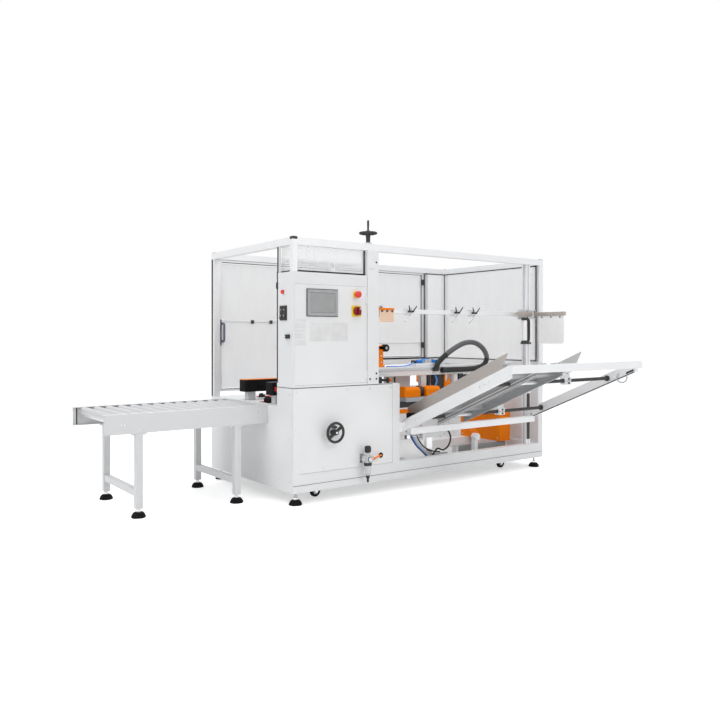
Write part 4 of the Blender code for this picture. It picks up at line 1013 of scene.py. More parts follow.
@dataclass
class Column:
    """The white column with its slide slot, and the hand wheel on top."""

    wheel: tuple[float, float] = (0.53, 0.03)
    height: float = 1.515

    def build(self, nodes: dict[str, bpy.types.Object]) -> None:
        """Dresses the column and makes the hand wheel."""
        dress(nodes, "column", DOOR_WHITE, 0.002)
        low, high = Site.box("column")
        trim = Shape().box((low.x + 0.012, -0.0006, 1.3), (low.x + 0.055, 0.0005, 1.312))
        trim.piece("column_label", BLANK, bevel=0)
        screws([(high.x - 0.018, 0, 1.345), (high.x - 0.018, 0, 0.7), (low.x + 0.018, 0, 0.668),
            (high.x - 0.018, 0, 0.668)], (0, -1, 0), 0.0055).piece("column_screws", BLACK, bevel=0)
        slot = Shape().box((high.x - 0.0005, 0.024, low.z + 0.05), (high.x + 0.0004, 0.036, high.z - 0.03))
        slot.piece("column_slot", BLACK, bevel=0)
        x, y = self.wheel
        height = self.height
        wheel = Shape().ring((x, y, height), (0, 0, 1), 0.047, 0.0068, 48)
        wheel.turned([(0, height + 0.016), (0.01, height + 0.016), (0.013, height + 0.012),
            (0.016, height - 0.008), (0.013, height - 0.022), (0.012, 1.4504), (0, 1.4504)], (x, y, 0))
        for i in range(3):
            turn = math.tau * i / 3 + 0.4
            reach = Vector((math.cos(turn), math.sin(turn), 0))
            middle = Vector((x, y, height)) + reach * 0.028
            wheel.box(middle - Vector((0.021, 0.006, 0.0035)), middle + Vector((0.021, 0.006, 0.0035)),
                Matrix.Rotation(turn, 4, "Z"))
        wheel.piece("top_handwheel_rim", BLACK, "top_handwheel", bevel=0.0006, replaces=["top_handwheel"])
        _, top = Site.box("top_handwheel")
        Shape().turned([(0, top.z), (0.0045, top.z), (0.0062, top.z - 0.004), (0.0066, top.z - 0.022),
            (0.005, height + 0.016), (0, height + 0.016)], (x, y, 0)).piece("top_handwheel_spindle", BLACK,
            "top_handwheel", bevel=0)
        Shape().turned([(0, 1.459), (0.02, 1.459), (0.022, 1.4565), (0.022, 1.4502), (0.0125, 1.4502),
            (0.0125, 1.459)], (x, y, 0)).piece("top_handwheel_bearing", PALE_GREY, bevel=0)
        LOG.info("column")


@dataclass
class Guards:
    """The guard frame, its glazing, gaskets and back doors."""

    profile: float = 0.04
    glazing: float = 0.004

    def build(self, nodes: dict[str, bpy.types.Object]) -> None:
        """Dresses the frame and panes, and makes caps, gaskets, hinges and handles."""
        dress(nodes, "guard_frame", RAIL_ALLOY, 0.0025)
        dress(nodes, "end_glazing", GUARD)
        dress(nodes, "head_window", WINDOW)
        self.corner_caps()
        self.window_gaskets()
        self.end_gaskets()
        for side in ("left", "right"):
            self.door(f"guard_door_{side}")
        LOG.info("guards")

    def corner_caps(self) -> None:
        """Black caps on the corners of the top rails."""
        _, high = Site.box("guard_frame")
        size = self.profile
        caps = Shape()
        caps.box((-0.0008, -0.0008, high.z - 0.012), (0.031, 0.031, high.z + 0.005))
        for x in (0.0004, high.x - size - 0.0004):
            caps.box((x, high.y - size, high.z - 0.003), (x + size, high.y - 0.0004, high.z + 0.003))
        caps.box((high.x - size, 0.0004, high.z - 0.003), (high.x - 0.0004, size, high.z + 0.003))
        caps.piece("guard_corner_caps", BLACK, bevel=0.003)

    def window_gaskets(self) -> None:
        """Black strips round the head window, and the pale rails seen through it."""
        low, high = Site.box("head_window")
        out, strip = 0.0305, 0.0048
        gaskets = Shape()
        _, cabinet = Site.box("control_cabinet")
        gaskets.box((out, low.y - 0.006, low.z), (high.x, low.y + 0.001, low.z + 0.0105))
        gaskets.box((high.x - strip, low.y - 0.006, low.z), (high.x, low.y + 0.001, high.z))
        gaskets.box((low.x - 0.006, out, low.z), (low.x + 0.001, high.y, low.z + 0.0105))
        gaskets.box((0.001, cabinet.y - 0.007, low.z - 0.003), (0.006, cabinet.y - 0.0006, high.z))
        gaskets.piece("head_window_gaskets", GASKET, bevel=0)
        # The rails seen through the window take the darker white: painted shade.
        inner = Shape().box((0.003, cabinet.y - 0.034, low.z), (0.006, cabinet.y - 0.01, high.z))
        inner.box((low.x + 0.02, high.y - 0.03, low.z + 0.06), (high.x - 0.01, high.y - 0.012,
            low.z + 0.072))
        inner.box((low.x + 0.17, 0.06, low.z + 0.05), (low.x + 0.182, high.y, low.z + 0.06))
        inner.box((low.x + 0.33, 0.06, low.z + 0.05), (low.x + 0.342, high.y, low.z + 0.06))
        inner.piece("head_window_inner_rails", SHADE_WHITE, bevel=0.001)

    def end_gaskets(self) -> None:
        """Black strips round the right end's glazing and beside the split post."""
        low, high = Site.box("end_glazing")
        strip = 0.007
        gaskets = Shape()
        x = high.x - self.glazing
        gaskets.box((x - 0.003, low.y, low.z), (x, high.y, low.z + strip))
        gaskets.box((x - 0.003, low.y, high.z - strip), (x, high.y, high.z))
        gaskets.box((x - 0.003, low.y, low.z), (x, low.y + strip, high.z))
        y = high.y - self.glazing
        gaskets.box((low.x, y - 0.003, low.z), (high.x, y, low.z + strip))
        gaskets.box((low.x, y - 0.003, high.z - strip), (high.x, y, high.z))
        gaskets.box((low.x, y - 0.003, low.z), (low.x + 0.004, y, high.z))
        gaskets.box((high.x - 0.008, y - 0.003, low.z), (high.x - 0.003, y, high.z))
        gaskets.piece("end_glazing_gaskets", GASKET, bevel=0)
        Shape().box((-0.0006, 0.9602, DECK_TOP), (0.0004, 0.979, 1.4095)).piece("guard_post_sheet",
            DOOR_WHITE, bevel=0)
        post = Shape().box((-0.0008, 0.98, DECK_TOP), (0.0008, 0.9996, 1.4095))
        post.box((0.747, 0.957, 0.7385), (1.985, 0.96, 0.75))
        post.box((1.7885, 0.957, 0.745), (1.7905, 0.9605, 1.405))
        post.piece("guard_post_gaskets", GASKET, bevel=0)

    def door(self, node: str) -> None:
        """A back door: pale frame, pane, gaskets, hinges, a C handle and its cross bar with clamps."""
        low, high = Site.box(node)
        front, back = high.y - 0.033, high.y
        wide = 0.012
        frame = Shape()
        for a, b in (((low.x, low.z), (low.x + wide, high.z)), ((high.x - wide, low.z), (high.x, high.z)),
                ((low.x + wide, low.z), (high.x - wide, low.z + wide)),
                ((low.x + wide, high.z - wide), (high.x - wide, high.z))):
            frame.box((a[0], front, a[1]), (b[0], back, b[1]))
        frame.piece(f"{node}_frame", RAIL_ALLOY, node, bevel=0.0015, replaces=[node])
        pane = front + 0.014
        Shape().box((low.x + 0.02, pane, low.z + 0.02), (high.x - 0.02, pane + self.glazing,
            high.z - 0.02)).piece(f"{node}_pane", GUARD, node, bevel=0)
        strip = Shape()
        inner = (low.x + wide, low.z + wide, high.x - wide, high.z - wide)
        for a, b in (((inner[0], inner[1]), (inner[0] + 0.004, inner[3])),
                ((inner[2] - 0.004, inner[1]), (inner[2], inner[3])),
                ((inner[0], inner[1]), (inner[2], inner[1] + 0.004)),
                ((inner[0], inner[3] - 0.004), (inner[2], inner[3]))):
            strip.box((a[0], pane - 0.004, a[1]), (b[0], pane, b[1]))
        strip.piece(f"{node}_gasket", GASKET, node, bevel=0)
        x = low.x + 0.015
        frame_wide = 0.03
        z0, z1 = 0.875, 1.005
        Shape().box((low.x + 0.001, front, z0 - 0.02), (low.x + frame_wide, back - 0.002,
            z1 + 0.02)).piece(f"{node}_handle_plate", RAIL_ALLOY, node, bevel=0.0012)
        reach = low.y + 0.006
        handle = smooth_line([(x, front, z0 + 0.008), (x, reach + 0.01, z0 + 0.008), (x, reach, z0 + 0.02),
            (x, reach, (z0 + z1) / 2), (x, reach, z1 - 0.02), (x, reach + 0.01, z1 - 0.008),
            (x, front, z1 - 0.008)], 5)
        Shape().tube(handle, 0.0075, 14).piece(f"{node}_handle", HANDLE, node, bevel=0)
        hinges = Shape()
        for z in (low.z + 0.1, high.z - 0.07):
            hinges.box((high.x - 0.028, front - 0.007, z - 0.022), (high.x - 0.001, front, z + 0.022))
            hinges.rod((high.x - 0.004, front - 0.005, z - 0.022),
                (high.x - 0.004, front - 0.005, z + 0.022), 0.006, 16)
        hinges.piece(f"{node}_hinges", BLACK, node, bevel=0.0008)
        bar_z = 1.01 if node.endswith("left") else 0.862
        bar = Shape().box((low.x + wide, pane - 0.007, bar_z - 0.003),
            (high.x - wide, pane - 0.001, bar_z + 0.003))
        bar.piece(f"{node}_bar", SHADE_WHITE, node, bevel=0.001)
        if node.endswith("left"):
            clamps = Shape()
            for place in (0.28, 0.42, 0.6):
                clamps.box((place - 0.01, pane - 0.016, bar_z - 0.012),
                    (place + 0.01, pane - 0.006, bar_z + 0.012))
            clamps.piece(f"{node}_clamps", BLACK, node, bevel=0.0015)


# ---------------------------------------------------------------- magazine

@dataclass
class Magazine:
    """The sloping carton magazine: rails, rods, bed and guides."""

    top: float = 0.767
    front: float = -0.82
    slope: float = 0.43
    left: float = 0.78
    right: float = 1.924
    rail: float = 0.03
    tall: float = 0.065
    rod_radius: float = 0.01
    bed_start: float = 1.0
    bed_end: float = 1.23

    def surface(self, y: float) -> float:
        """How high the sloping surface is at y."""
        return self.top - self.slope * (y - self.front)

    def along(self, shape: Shape, x0: float, x1: float, front: float, back: float, low: float,
            high: float) -> Shape:
        """Adds a bar that follows the slope, between two heights above its surface."""
        outline = [(front, self.surface(front) + low), (back, self.surface(back) + low),
            (back, self.surface(back) + high), (front, self.surface(front) + high)]
        return shape.prism("X", x0, x1, outline)

    def build(self, nodes: dict[str, bpy.types.Object]) -> None:
        """Dresses the frame, and makes the rods, bed profiles, belts, guides and clamps."""
        dress(nodes, "magazine_frame", RAIL_ALLOY, 0.0012)
        self.rails()
        self.bed()
        self.guides()
        LOG.info("magazine")

    def rails(self) -> None:
        """Black sleeves on the rods, screws, end covers, the right rail's dark lip, the beam's joints."""
        low, _ = Site.box("magazine_frame")
        left, right = self.left, self.right
        rods = Shape()
        for y in (-0.629, -0.114):
            height = self.surface(y) - self.rod_radius * 3
            for x0, x1 in ((left + self.rail, self.bed_start), (self.bed_end, right - self.rail)):
                rods.rod((x0, y, height), (x1, y, height), self.rod_radius + 0.0003, 28)
            rods.rod((right - self.rail - 0.012, y, height), (right - self.rail - 0.0003, y, height), 0.017,
                24)
        rods.piece("magazine_rods", BLACK, bevel=0)
        heads = [(left, y + step, self.surface(y) - 0.034 + rise) for y in (-0.655, -0.133) for step,
            rise in ((-0.034, 0.0146), (0.0, 0.0), (0.034, -0.0146))]
        screws(heads, (-1, 0, 0), 0.0048, 0.0018).piece("magazine_screws_left", BRIGHT, bevel=0)
        heads = [(right, y, self.surface(y) - 0.032) for y in (-0.79, -0.629, -0.42, -0.114)]
        screws(heads, (1, 0, 0), 0.0055, 0.002).piece("magazine_screws_right", BRIGHT, bevel=0)
        lip = Shape()
        self.along(lip, right - self.rail - 0.0004, right - self.rail + 0.006, self.front + 0.004, -0.03,
            -self.tall - 0.0006, -self.tall + 0.005)
        self.along(lip, right - self.rail - 0.0006, right - self.rail + 0.0004, self.front + 0.01,
            self.front + 0.06, -0.056, -0.044)
        lip.piece("magazine_rail_lip", GASKET, bevel=0)
        covers = Shape()
        self.along(covers, left + 0.003, left + self.rail + 0.03, 0.0205, 0.03, -self.tall + 0.008, -0.004)
        covers.box((left + self.rail + 0.001, -0.03, self.surface(-0.03) - 0.008),
            (left + self.rail + 0.034, 0.02, self.surface(-0.03) + 0.026))
        covers.piece("magazine_end_cover", RUBBER, bevel=0.002)
        bracket = Shape().prism("X", right - self.rail - 0.003, right - self.rail - 0.0003,
            [(-0.062, self.surface(-0.062) - 0.02), (0.008, self.surface(0.0) - 0.018),
            (0.008, self.surface(0.0) - 0.08), (-0.02, self.surface(-0.02) - 0.092)])
        bracket.piece("magazine_end_bracket", RAIL_ALLOY, bevel=0.0006)
        screws([(right - self.rail - 0.003, y, self.surface(y) - drop) for y,
            drop in ((-0.03, 0.045), (-0.005, 0.06))], (-1, 0, 0), 0.005,
            0.004).piece("magazine_bracket_screws", BLACK, bevel=0)
        seams = Shape()
        for x in (left + self.rail, right - self.rail):
            seams.box((x - 0.0006, low.y + 0.003, self.top - 0.001),
                (x + 0.0006, low.y + 0.027, self.top + 0.0004))
        seams.piece("magazine_beam_seams", SHADE_WHITE, bevel=0)
        y = self.front + 0.099
        ring = Vector((right - self.rail / 2, y, self.surface(y) - self.tall + 0.004))
        loop = Shape().ring(ring, (-0.6, -0.8, 0), 0.031, 0.0036, 36)
        loop.piece("magazine_cable_ring", GREY, bevel=0)

    def bed(self) -> None:
        """Two broad extrusions with dark belts along them, cross plates between, and end blocks."""
        low, high = Site.box("magazine_bed")
        width = (high.x - low.x) * 0.42
        back = high.y
        profiles = Shape()
        belts = Shape()
        for x0 in (low.x, high.x - width):
            x1 = x0 + width
            self.along(profiles, x0, x0 + 0.016, low.y, back, -0.016, 0.01)
            self.along(profiles, x1 - 0.016, x1, low.y, back, -0.016, 0.01)
            self.along(profiles, x0 + 0.016, x1 - 0.016, low.y, back, -0.016, 0.005)
            self.along(profiles, x0 + 0.04, x1 - 0.04, low.y, back, 0.005, 0.0085)
            self.along(belts, x0 + 0.018, x0 + 0.036, low.y + 0.004, back - 0.004, 0.005, 0.0078)
            self.along(belts, x1 - 0.036, x1 - 0.018, low.y + 0.004, back - 0.004, 0.005, 0.0078)
        for y in (-0.7, -0.4, -0.08):
            self.along(profiles, low.x + width, high.x - width, y - 0.02, y + 0.02, -0.014, 0.002)
        skirts = Shape()
        for x0 in (low.x, high.x - 0.012):
            self.along(skirts, x0, x0 + 0.012, low.y, -0.05, -0.024, -0.015)
            self.along(skirts, x0 + 0.003, x0 + 0.009, low.y, -0.05, -0.055, -0.023)
            self.along(skirts, x0, x0 + 0.012, low.y, -0.05, -0.062, -0.054)
        # Thin pale strips on the outer faces of the dark skirts: painted highlights.
        edges = Shape()
        for x0, face in ((low.x, -1), (high.x - 0.012, 1)):
            outer = x0 - 0.0008 if face < 0 else x0 + 0.0116
            for drop in (-0.04, -0.058):
                self.along(edges, outer, outer + 0.0012, low.y + 0.004, -0.055, drop, drop + 0.0045)
        edges.piece("magazine_bed_painted_highlights", RAIL_ALLOY, bevel=0)
        sleeves = Shape()
        for y in (-0.74, -0.22):
            for x0, x1 in ((self.left + self.rail + 0.0005, low.x - 0.001),
                    (low.x + 0.0125, high.x - 0.0125), (high.x + 0.0005, high.x + 0.0206)):
                self.along(sleeves, x0, x1, y - 0.0206, y + 0.0206, -0.0346, -0.0154)
        sleeves.piece("magazine_crossing_sleeves", SKIRT_ALLOY, bevel=0)
        skirts.piece("magazine_bed_skirts", SKIRT_ALLOY, bevel=0.0006)
        profiles.piece("magazine_bed_profiles", BED_ALLOY, bevel=0.0007, replaces=["magazine_bed"])
        belts.piece("magazine_bed_belts", GASKET, bevel=0.0004)
        blocks = Shape()
        for x0 in (low.x, high.x - width):
            for x in (x0 + 0.027, x0 + width - 0.027):
                self.along(blocks, x - 0.011, x + 0.011, low.y - 0.01, low.y + 0.01, -0.012, 0.0088)
        blocks.piece("magazine_belt_ends", BED_ALLOY, bevel=0.0015)
        heads = Shape()
        for y in (-0.7, -0.4, -0.08):
            for x in (low.x + 0.008, low.x + width - 0.008, high.x - width + 0.008, high.x - 0.008):
                heads.turned([(0, 0.0015), (0.004, 0.0015), (0.0045, 0.0008), (0.0045, -0.0005),
                    (0, -0.0005)], (x, y, self.surface(y) + 0.01), (0, self.slope, 1), 14)
        heads.piece("magazine_bed_screws", BRIGHT, bevel=0)

    def guides(self) -> None:
        """Bent stainless guides with a pale strip low on each face as a painted highlight, and the moving
        guide's clamps on the rods.
        """
        tip, height, sheet = -0.75, 0.093, 0.004
        for node, x, back, low, body in (("fixed_guide", 0.85, 0.05, 0.0003, "body"),
                ("moving_guide", 1.47, 0.05, 0.012, "moving_guide")):
            mirrored = -1 if node == "fixed_guide" else 1
            shape = Shape()
            outline = [(tip + 0.05, self.surface(tip + 0.05) + low), (back, self.surface(back) + low),
                (back, self.surface(back) + height), (tip + 0.004, self.surface(tip + 0.004) + height),
                (tip, self.surface(tip) + height - 0.004)]
            shape.prism("X", x, x + sheet, outline)
            if node == "fixed_guide":
                low_box, _ = Site.box(node)
                self.along(shape, low_box.x, x + sheet, tip + 0.06, 0.01, low, low + sheet)
            else:
                self.along(shape, x, x + 0.04, tip + 0.06, back, low, low + sheet)
            # A pale strip along the lower part of the plate's face: painted highlight.
            lip = self.along(Shape(), x - 0.0012, x + 0.0002, tip + 0.06, back - 0.01, 0.006, 0.015)
            lip.piece(f"{node}_edge", RAIL_ALLOY, body, bevel=0)
            shape.piece(f"{node}_plate", STAINLESS if node == "fixed_guide" else GUIDE_GREY, body,
                bevel=0.0006, replaces=[node])
            heads = Shape()
            for y in (-0.629, -0.37, -0.114):
                place = (x + (0.022 if mirrored > 0 else -0.03), y + 0.028,
                    self.surface(y + 0.028) + low + sheet)
                heads.turned([(0, 0.003), (0.0055, 0.003), (0.006, 0.0015), (0.006, 0), (0, 0)], place,
                    (0, self.slope, 1), 14)
            heads.piece(f"{node}_screws", BRIGHT, body, bevel=0)
        x = 1.47
        for number, y in enumerate((-0.629, -0.114)):
            middle = self.surface(y) - 0.03
            saddle = Shape()
            half = 0.022
            for side in (-1, 1):
                saddle.box((x - 0.01, y + side * (half + 0.011) / 2 - (half - 0.011) / 2, middle - half),
                    (x + 0.04, y + side * (half + 0.011) / 2 + (half - 0.011) / 2, middle + half))
            saddle.box((x - 0.01, y - 0.0115, middle + 0.0112), (x + 0.04, y + 0.0115,
                self.surface(y) + 0.011))
            saddle.box((x - 0.01, y - 0.0115, middle - half), (x + 0.04, y + 0.0115, middle - 0.0112))
            saddle.piece(f"moving_guide_saddle_{number + 1}", WHITE, "moving_guide", bevel=0.0015)
            split = Shape().box((x - 0.0104, y - 0.0232, middle - 0.001),
                (x + 0.0404, y - 0.0116, middle + 0.001))
            split.rod((x + 0.015, y - half - 0.0002, middle + 0.012),
                (x + 0.015, y - half - 0.006, middle + 0.012), 0.0055, 16)
            split.rod((x + 0.015, y - half - 0.0002, middle - 0.012),
                (x + 0.015, y - half - 0.006, middle - 0.012), 0.0055, 16)
            split.piece(f"moving_guide_clamp_screws_{number + 1}", BLACK, "moving_guide", bevel=0.0006)


# ---------------------------------------------------------------- hold-down

@dataclass
class HoldDown:
    """The bar that slides between the column and the guide post, and what is clamped to it."""

    clamps: tuple[float, ...] = (0.833, 1.219, 1.372)

    def build(self, nodes: dict[str, bpy.types.Object]) -> None:
        """Makes the post's slots, the bar and its fittings."""
        self.post(nodes)
        self.bar()
        self.arm()
        self.carton_plate()
        LOG.info("hold-down")

    def knob(self, shape: Shape, place: Point, towards: Point, turn: int) -> None:
        """A clamping lever: a boss with a tapered lever turned to one side."""
        place = Vector(place)
        shape.turned([(0, 0.018), (0.004, 0.0175), (0.0055, 0.015), (0.0062, 0.008), (0.007, 0.001),
            (0, 0.001)], place, towards, 18)
        side = Vector((0.45 * turn, -0.3, 0.84)).normalized()
        shape.rod(place + Vector(towards) * 0.012, place + Vector(towards) * 0.014 + side * 0.04, 0.0042,
            14, 0.003)

    def post(self, nodes: dict[str, bpy.types.Object]) -> None:
        """The extruded guide post: grooves on its faces and a black strip low down."""
        dress(nodes, "guide_post", RAIL_ALLOY, 0.0015)
        low, high = Site.box("guide_post")
        middle = (low.x + high.x) / 2
        depth = (low.y + high.y) / 2
        slots = Shape()
        slots.box((middle - 0.004, low.y - 0.0004, low.z), (middle + 0.004, low.y + 0.0004, high.z))
        slots.box((low.x - 0.0004, depth - 0.004, low.z), (low.x + 0.0004, depth + 0.004, high.z))
        slots.box((high.x - 0.0004, depth - 0.004, low.z), (high.x + 0.0004, depth + 0.004, high.z))
        slots.piece("guide_post_slots", GREY, bevel=0)
        strip = Shape().box((middle - 0.015, low.y - 0.0026, low.z + 0.035),
            (middle + 0.015, low.y - 0.0002, 0.33))
        strip.box((middle - 0.015, low.y - 0.0026, 0.412), (middle + 0.015, low.y - 0.0002, 0.52))
        strip.piece("guide_post_strip", BLACK, bevel=0.0006)

    def bar(self) -> None:
        """The square bar with its end blocks, and clamps with lever knobs along it."""
        low, _ = Site.box("hold_down_bar")
        column_edge = low.x
        z0, z1 = 1.052, 1.078
        bar = Shape().box((column_edge + 0.02, 0.014, z0), (1.8644, 0.04, z1))
        bar.piece("hold_down_rail", RAIL_ALLOY, "hold_down_bar", bevel=0.001, replaces=["hold_down_bar"])
        blocks = Shape().box((column_edge, 0.002, z0 - 0.02), (column_edge + 0.035, 0.058, z1 + 0.02))
        blocks.box((1.84, -0.0245, z0 - 0.02), (1.8844, 0.05, z1 + 0.02))
        blocks.box((1.846, -0.024, z0 - 0.018), (1.9456, 0.0094, z1 + 0.018))
        blocks.piece("hold_down_blocks", PALE_GREY, "hold_down_bar", bevel=0.002)
        screws([(column_edge + 0.0175, 0.002, z) for z in (z0 - 0.008, z1 + 0.008)] + [(x, -0.0245,
            z) for x in (1.858, 1.932) for z in (z0 - 0.006, z1 + 0.006)], (0, -1, 0), 0.005,
            0.003).piece("hold_down_screws", BLACK, "hold_down_bar", bevel=0)
        clamps = Shape()
        levers = Shape()
        for x in self.clamps:
            for side in (-1, 1):
                edge = x + side * 0.013
                clamps.box((edge - 0.005, 0.008, z0 - 0.008), (edge + 0.005, 0.046, z1 + 0.008))
                self.knob(levers, (edge, 0.008, (z0 + z1) / 2), (0, -1, 0), side)
            finger = smooth_line([(x, 0.012, z0 - 0.004), (x - 0.02, -0.004, z0 - 0.03),
                (x - 0.055, -0.01, z0 - 0.048)], 4)
            clamps.tube(finger, 0.0045, 10)
        clamps.piece("hold_down_clamps", BRIGHT, "hold_down_bar", bevel=0.001)
        levers.piece("hold_down_levers", BLACK, "hold_down_bar", bevel=0.0004)

    def arm(self) -> None:
        """The cross arm with its hanging rounded board, handle and gas cylinder."""
        arm = Shape().box((1.9256, -0.279, 1.053), (1.9456, 0.1555, 1.079))
        arm.prism("Y", -0.0275, -0.025, [(1.722, 1.064), (1.765, 1.051), (1.906, 1.048), (1.906, 1.088),
            (1.765, 1.082), (1.722, 1.072)])
        arm.piece("hold_down_arm", STAINLESS, "hold_down_bar", bevel=0.001)
        board = []
        y0, y1, z0, z1, corner = -0.27, -0.06, 0.866, 1.06, 0.022
        for middle_y, middle_z, first in ((y1 - corner, z0 + corner, -90), (y1 - corner, z1 - 0.006, 0),
                (y0 + corner, z1 - 0.006, 90), (y0 + corner, z0 + corner, 180)):
            radius = corner if middle_z < 1.0 else 0.006
            middle_y = middle_y if middle_z < 1.0 else (y1 - 0.006 if middle_y > -0.15 else y0 + 0.006)
            for step in range(6):
                turn = math.radians(first + 90 * step / 5)
                board.append((middle_y + radius * math.cos(turn), middle_z + radius * math.sin(turn)))
        Shape().prism("X", 1.93, 1.9352, board).piece("hold_down_board", BOARD, "hold_down_bar",
            bevel=0.0006)
        screws([(1.93, y, 1.045) for y in (-0.24, -0.165, -0.09)], (-1, 0, 0), 0.0055,
            0.003).piece("hold_down_board_screws", BLACK, "hold_down_bar", bevel=0)
        handle = smooth_line([(1.812, -0.016, 1.034), (1.85, -0.022, 1.034), (1.864, -0.026, 1.026),
            (1.869, -0.026, 1.005), (1.869, -0.026, 0.905), (1.864, -0.026, 0.884), (1.85, -0.022, 0.876),
            (1.812, -0.016, 0.876)], 5)
        grip = Shape().tube(handle, 0.0098, 14)
        grip.rod((1.838, -0.016, 1.024), (1.838, -0.016, 1.033), 0.0172, 28)
        grip.box((1.812, -0.024, 0.862), (1.898, -0.002, 0.874))
        grip.piece("hold_down_handle", BLACK, "hold_down_bar", bevel=0.0008)
        cylinder = Shape().rod((1.838, -0.016, 0.886), (1.838, -0.016, 1.024), 0.0165, 28)
        cylinder.box((1.886, -0.018, 0.86), (1.9165, 0.009, 1.034))
        cylinder.piece("hold_down_cylinder", BOARD, "hold_down_bar", bevel=0.0012)

    def carton_plate(self) -> None:
        """The pale orange plate before the bar's left end, with its orange edge and knobs."""
        plate = Shape().box((0.589, -0.004, 1.0), (0.696, -0.0015, 1.07))
        plate.piece("carton_plate", PALE_ORANGE, "hold_down_bar", bevel=0.0006)
        edge = Shape().box((0.589, -0.006, 1.07), (0.698, 0.0016, 1.082))
        edge.piece("carton_plate_edge", ORANGE, "hold_down_bar", bevel=0.0008)
        knobs = Shape()
        for x in (0.604, 0.642, 0.68):
            knobs.turned([(0, 0.012), (0.004, 0.0115), (0.005, 0.009), (0.005, 0.0002), (0, 0.0002)],
                (x, -0.004, 1.064), (0, -1, 0), 18)
        knobs.piece("carton_plate_knobs", BLACK, "hold_down_bar", bevel=0)


# ---------------------------------------------------------------- inside

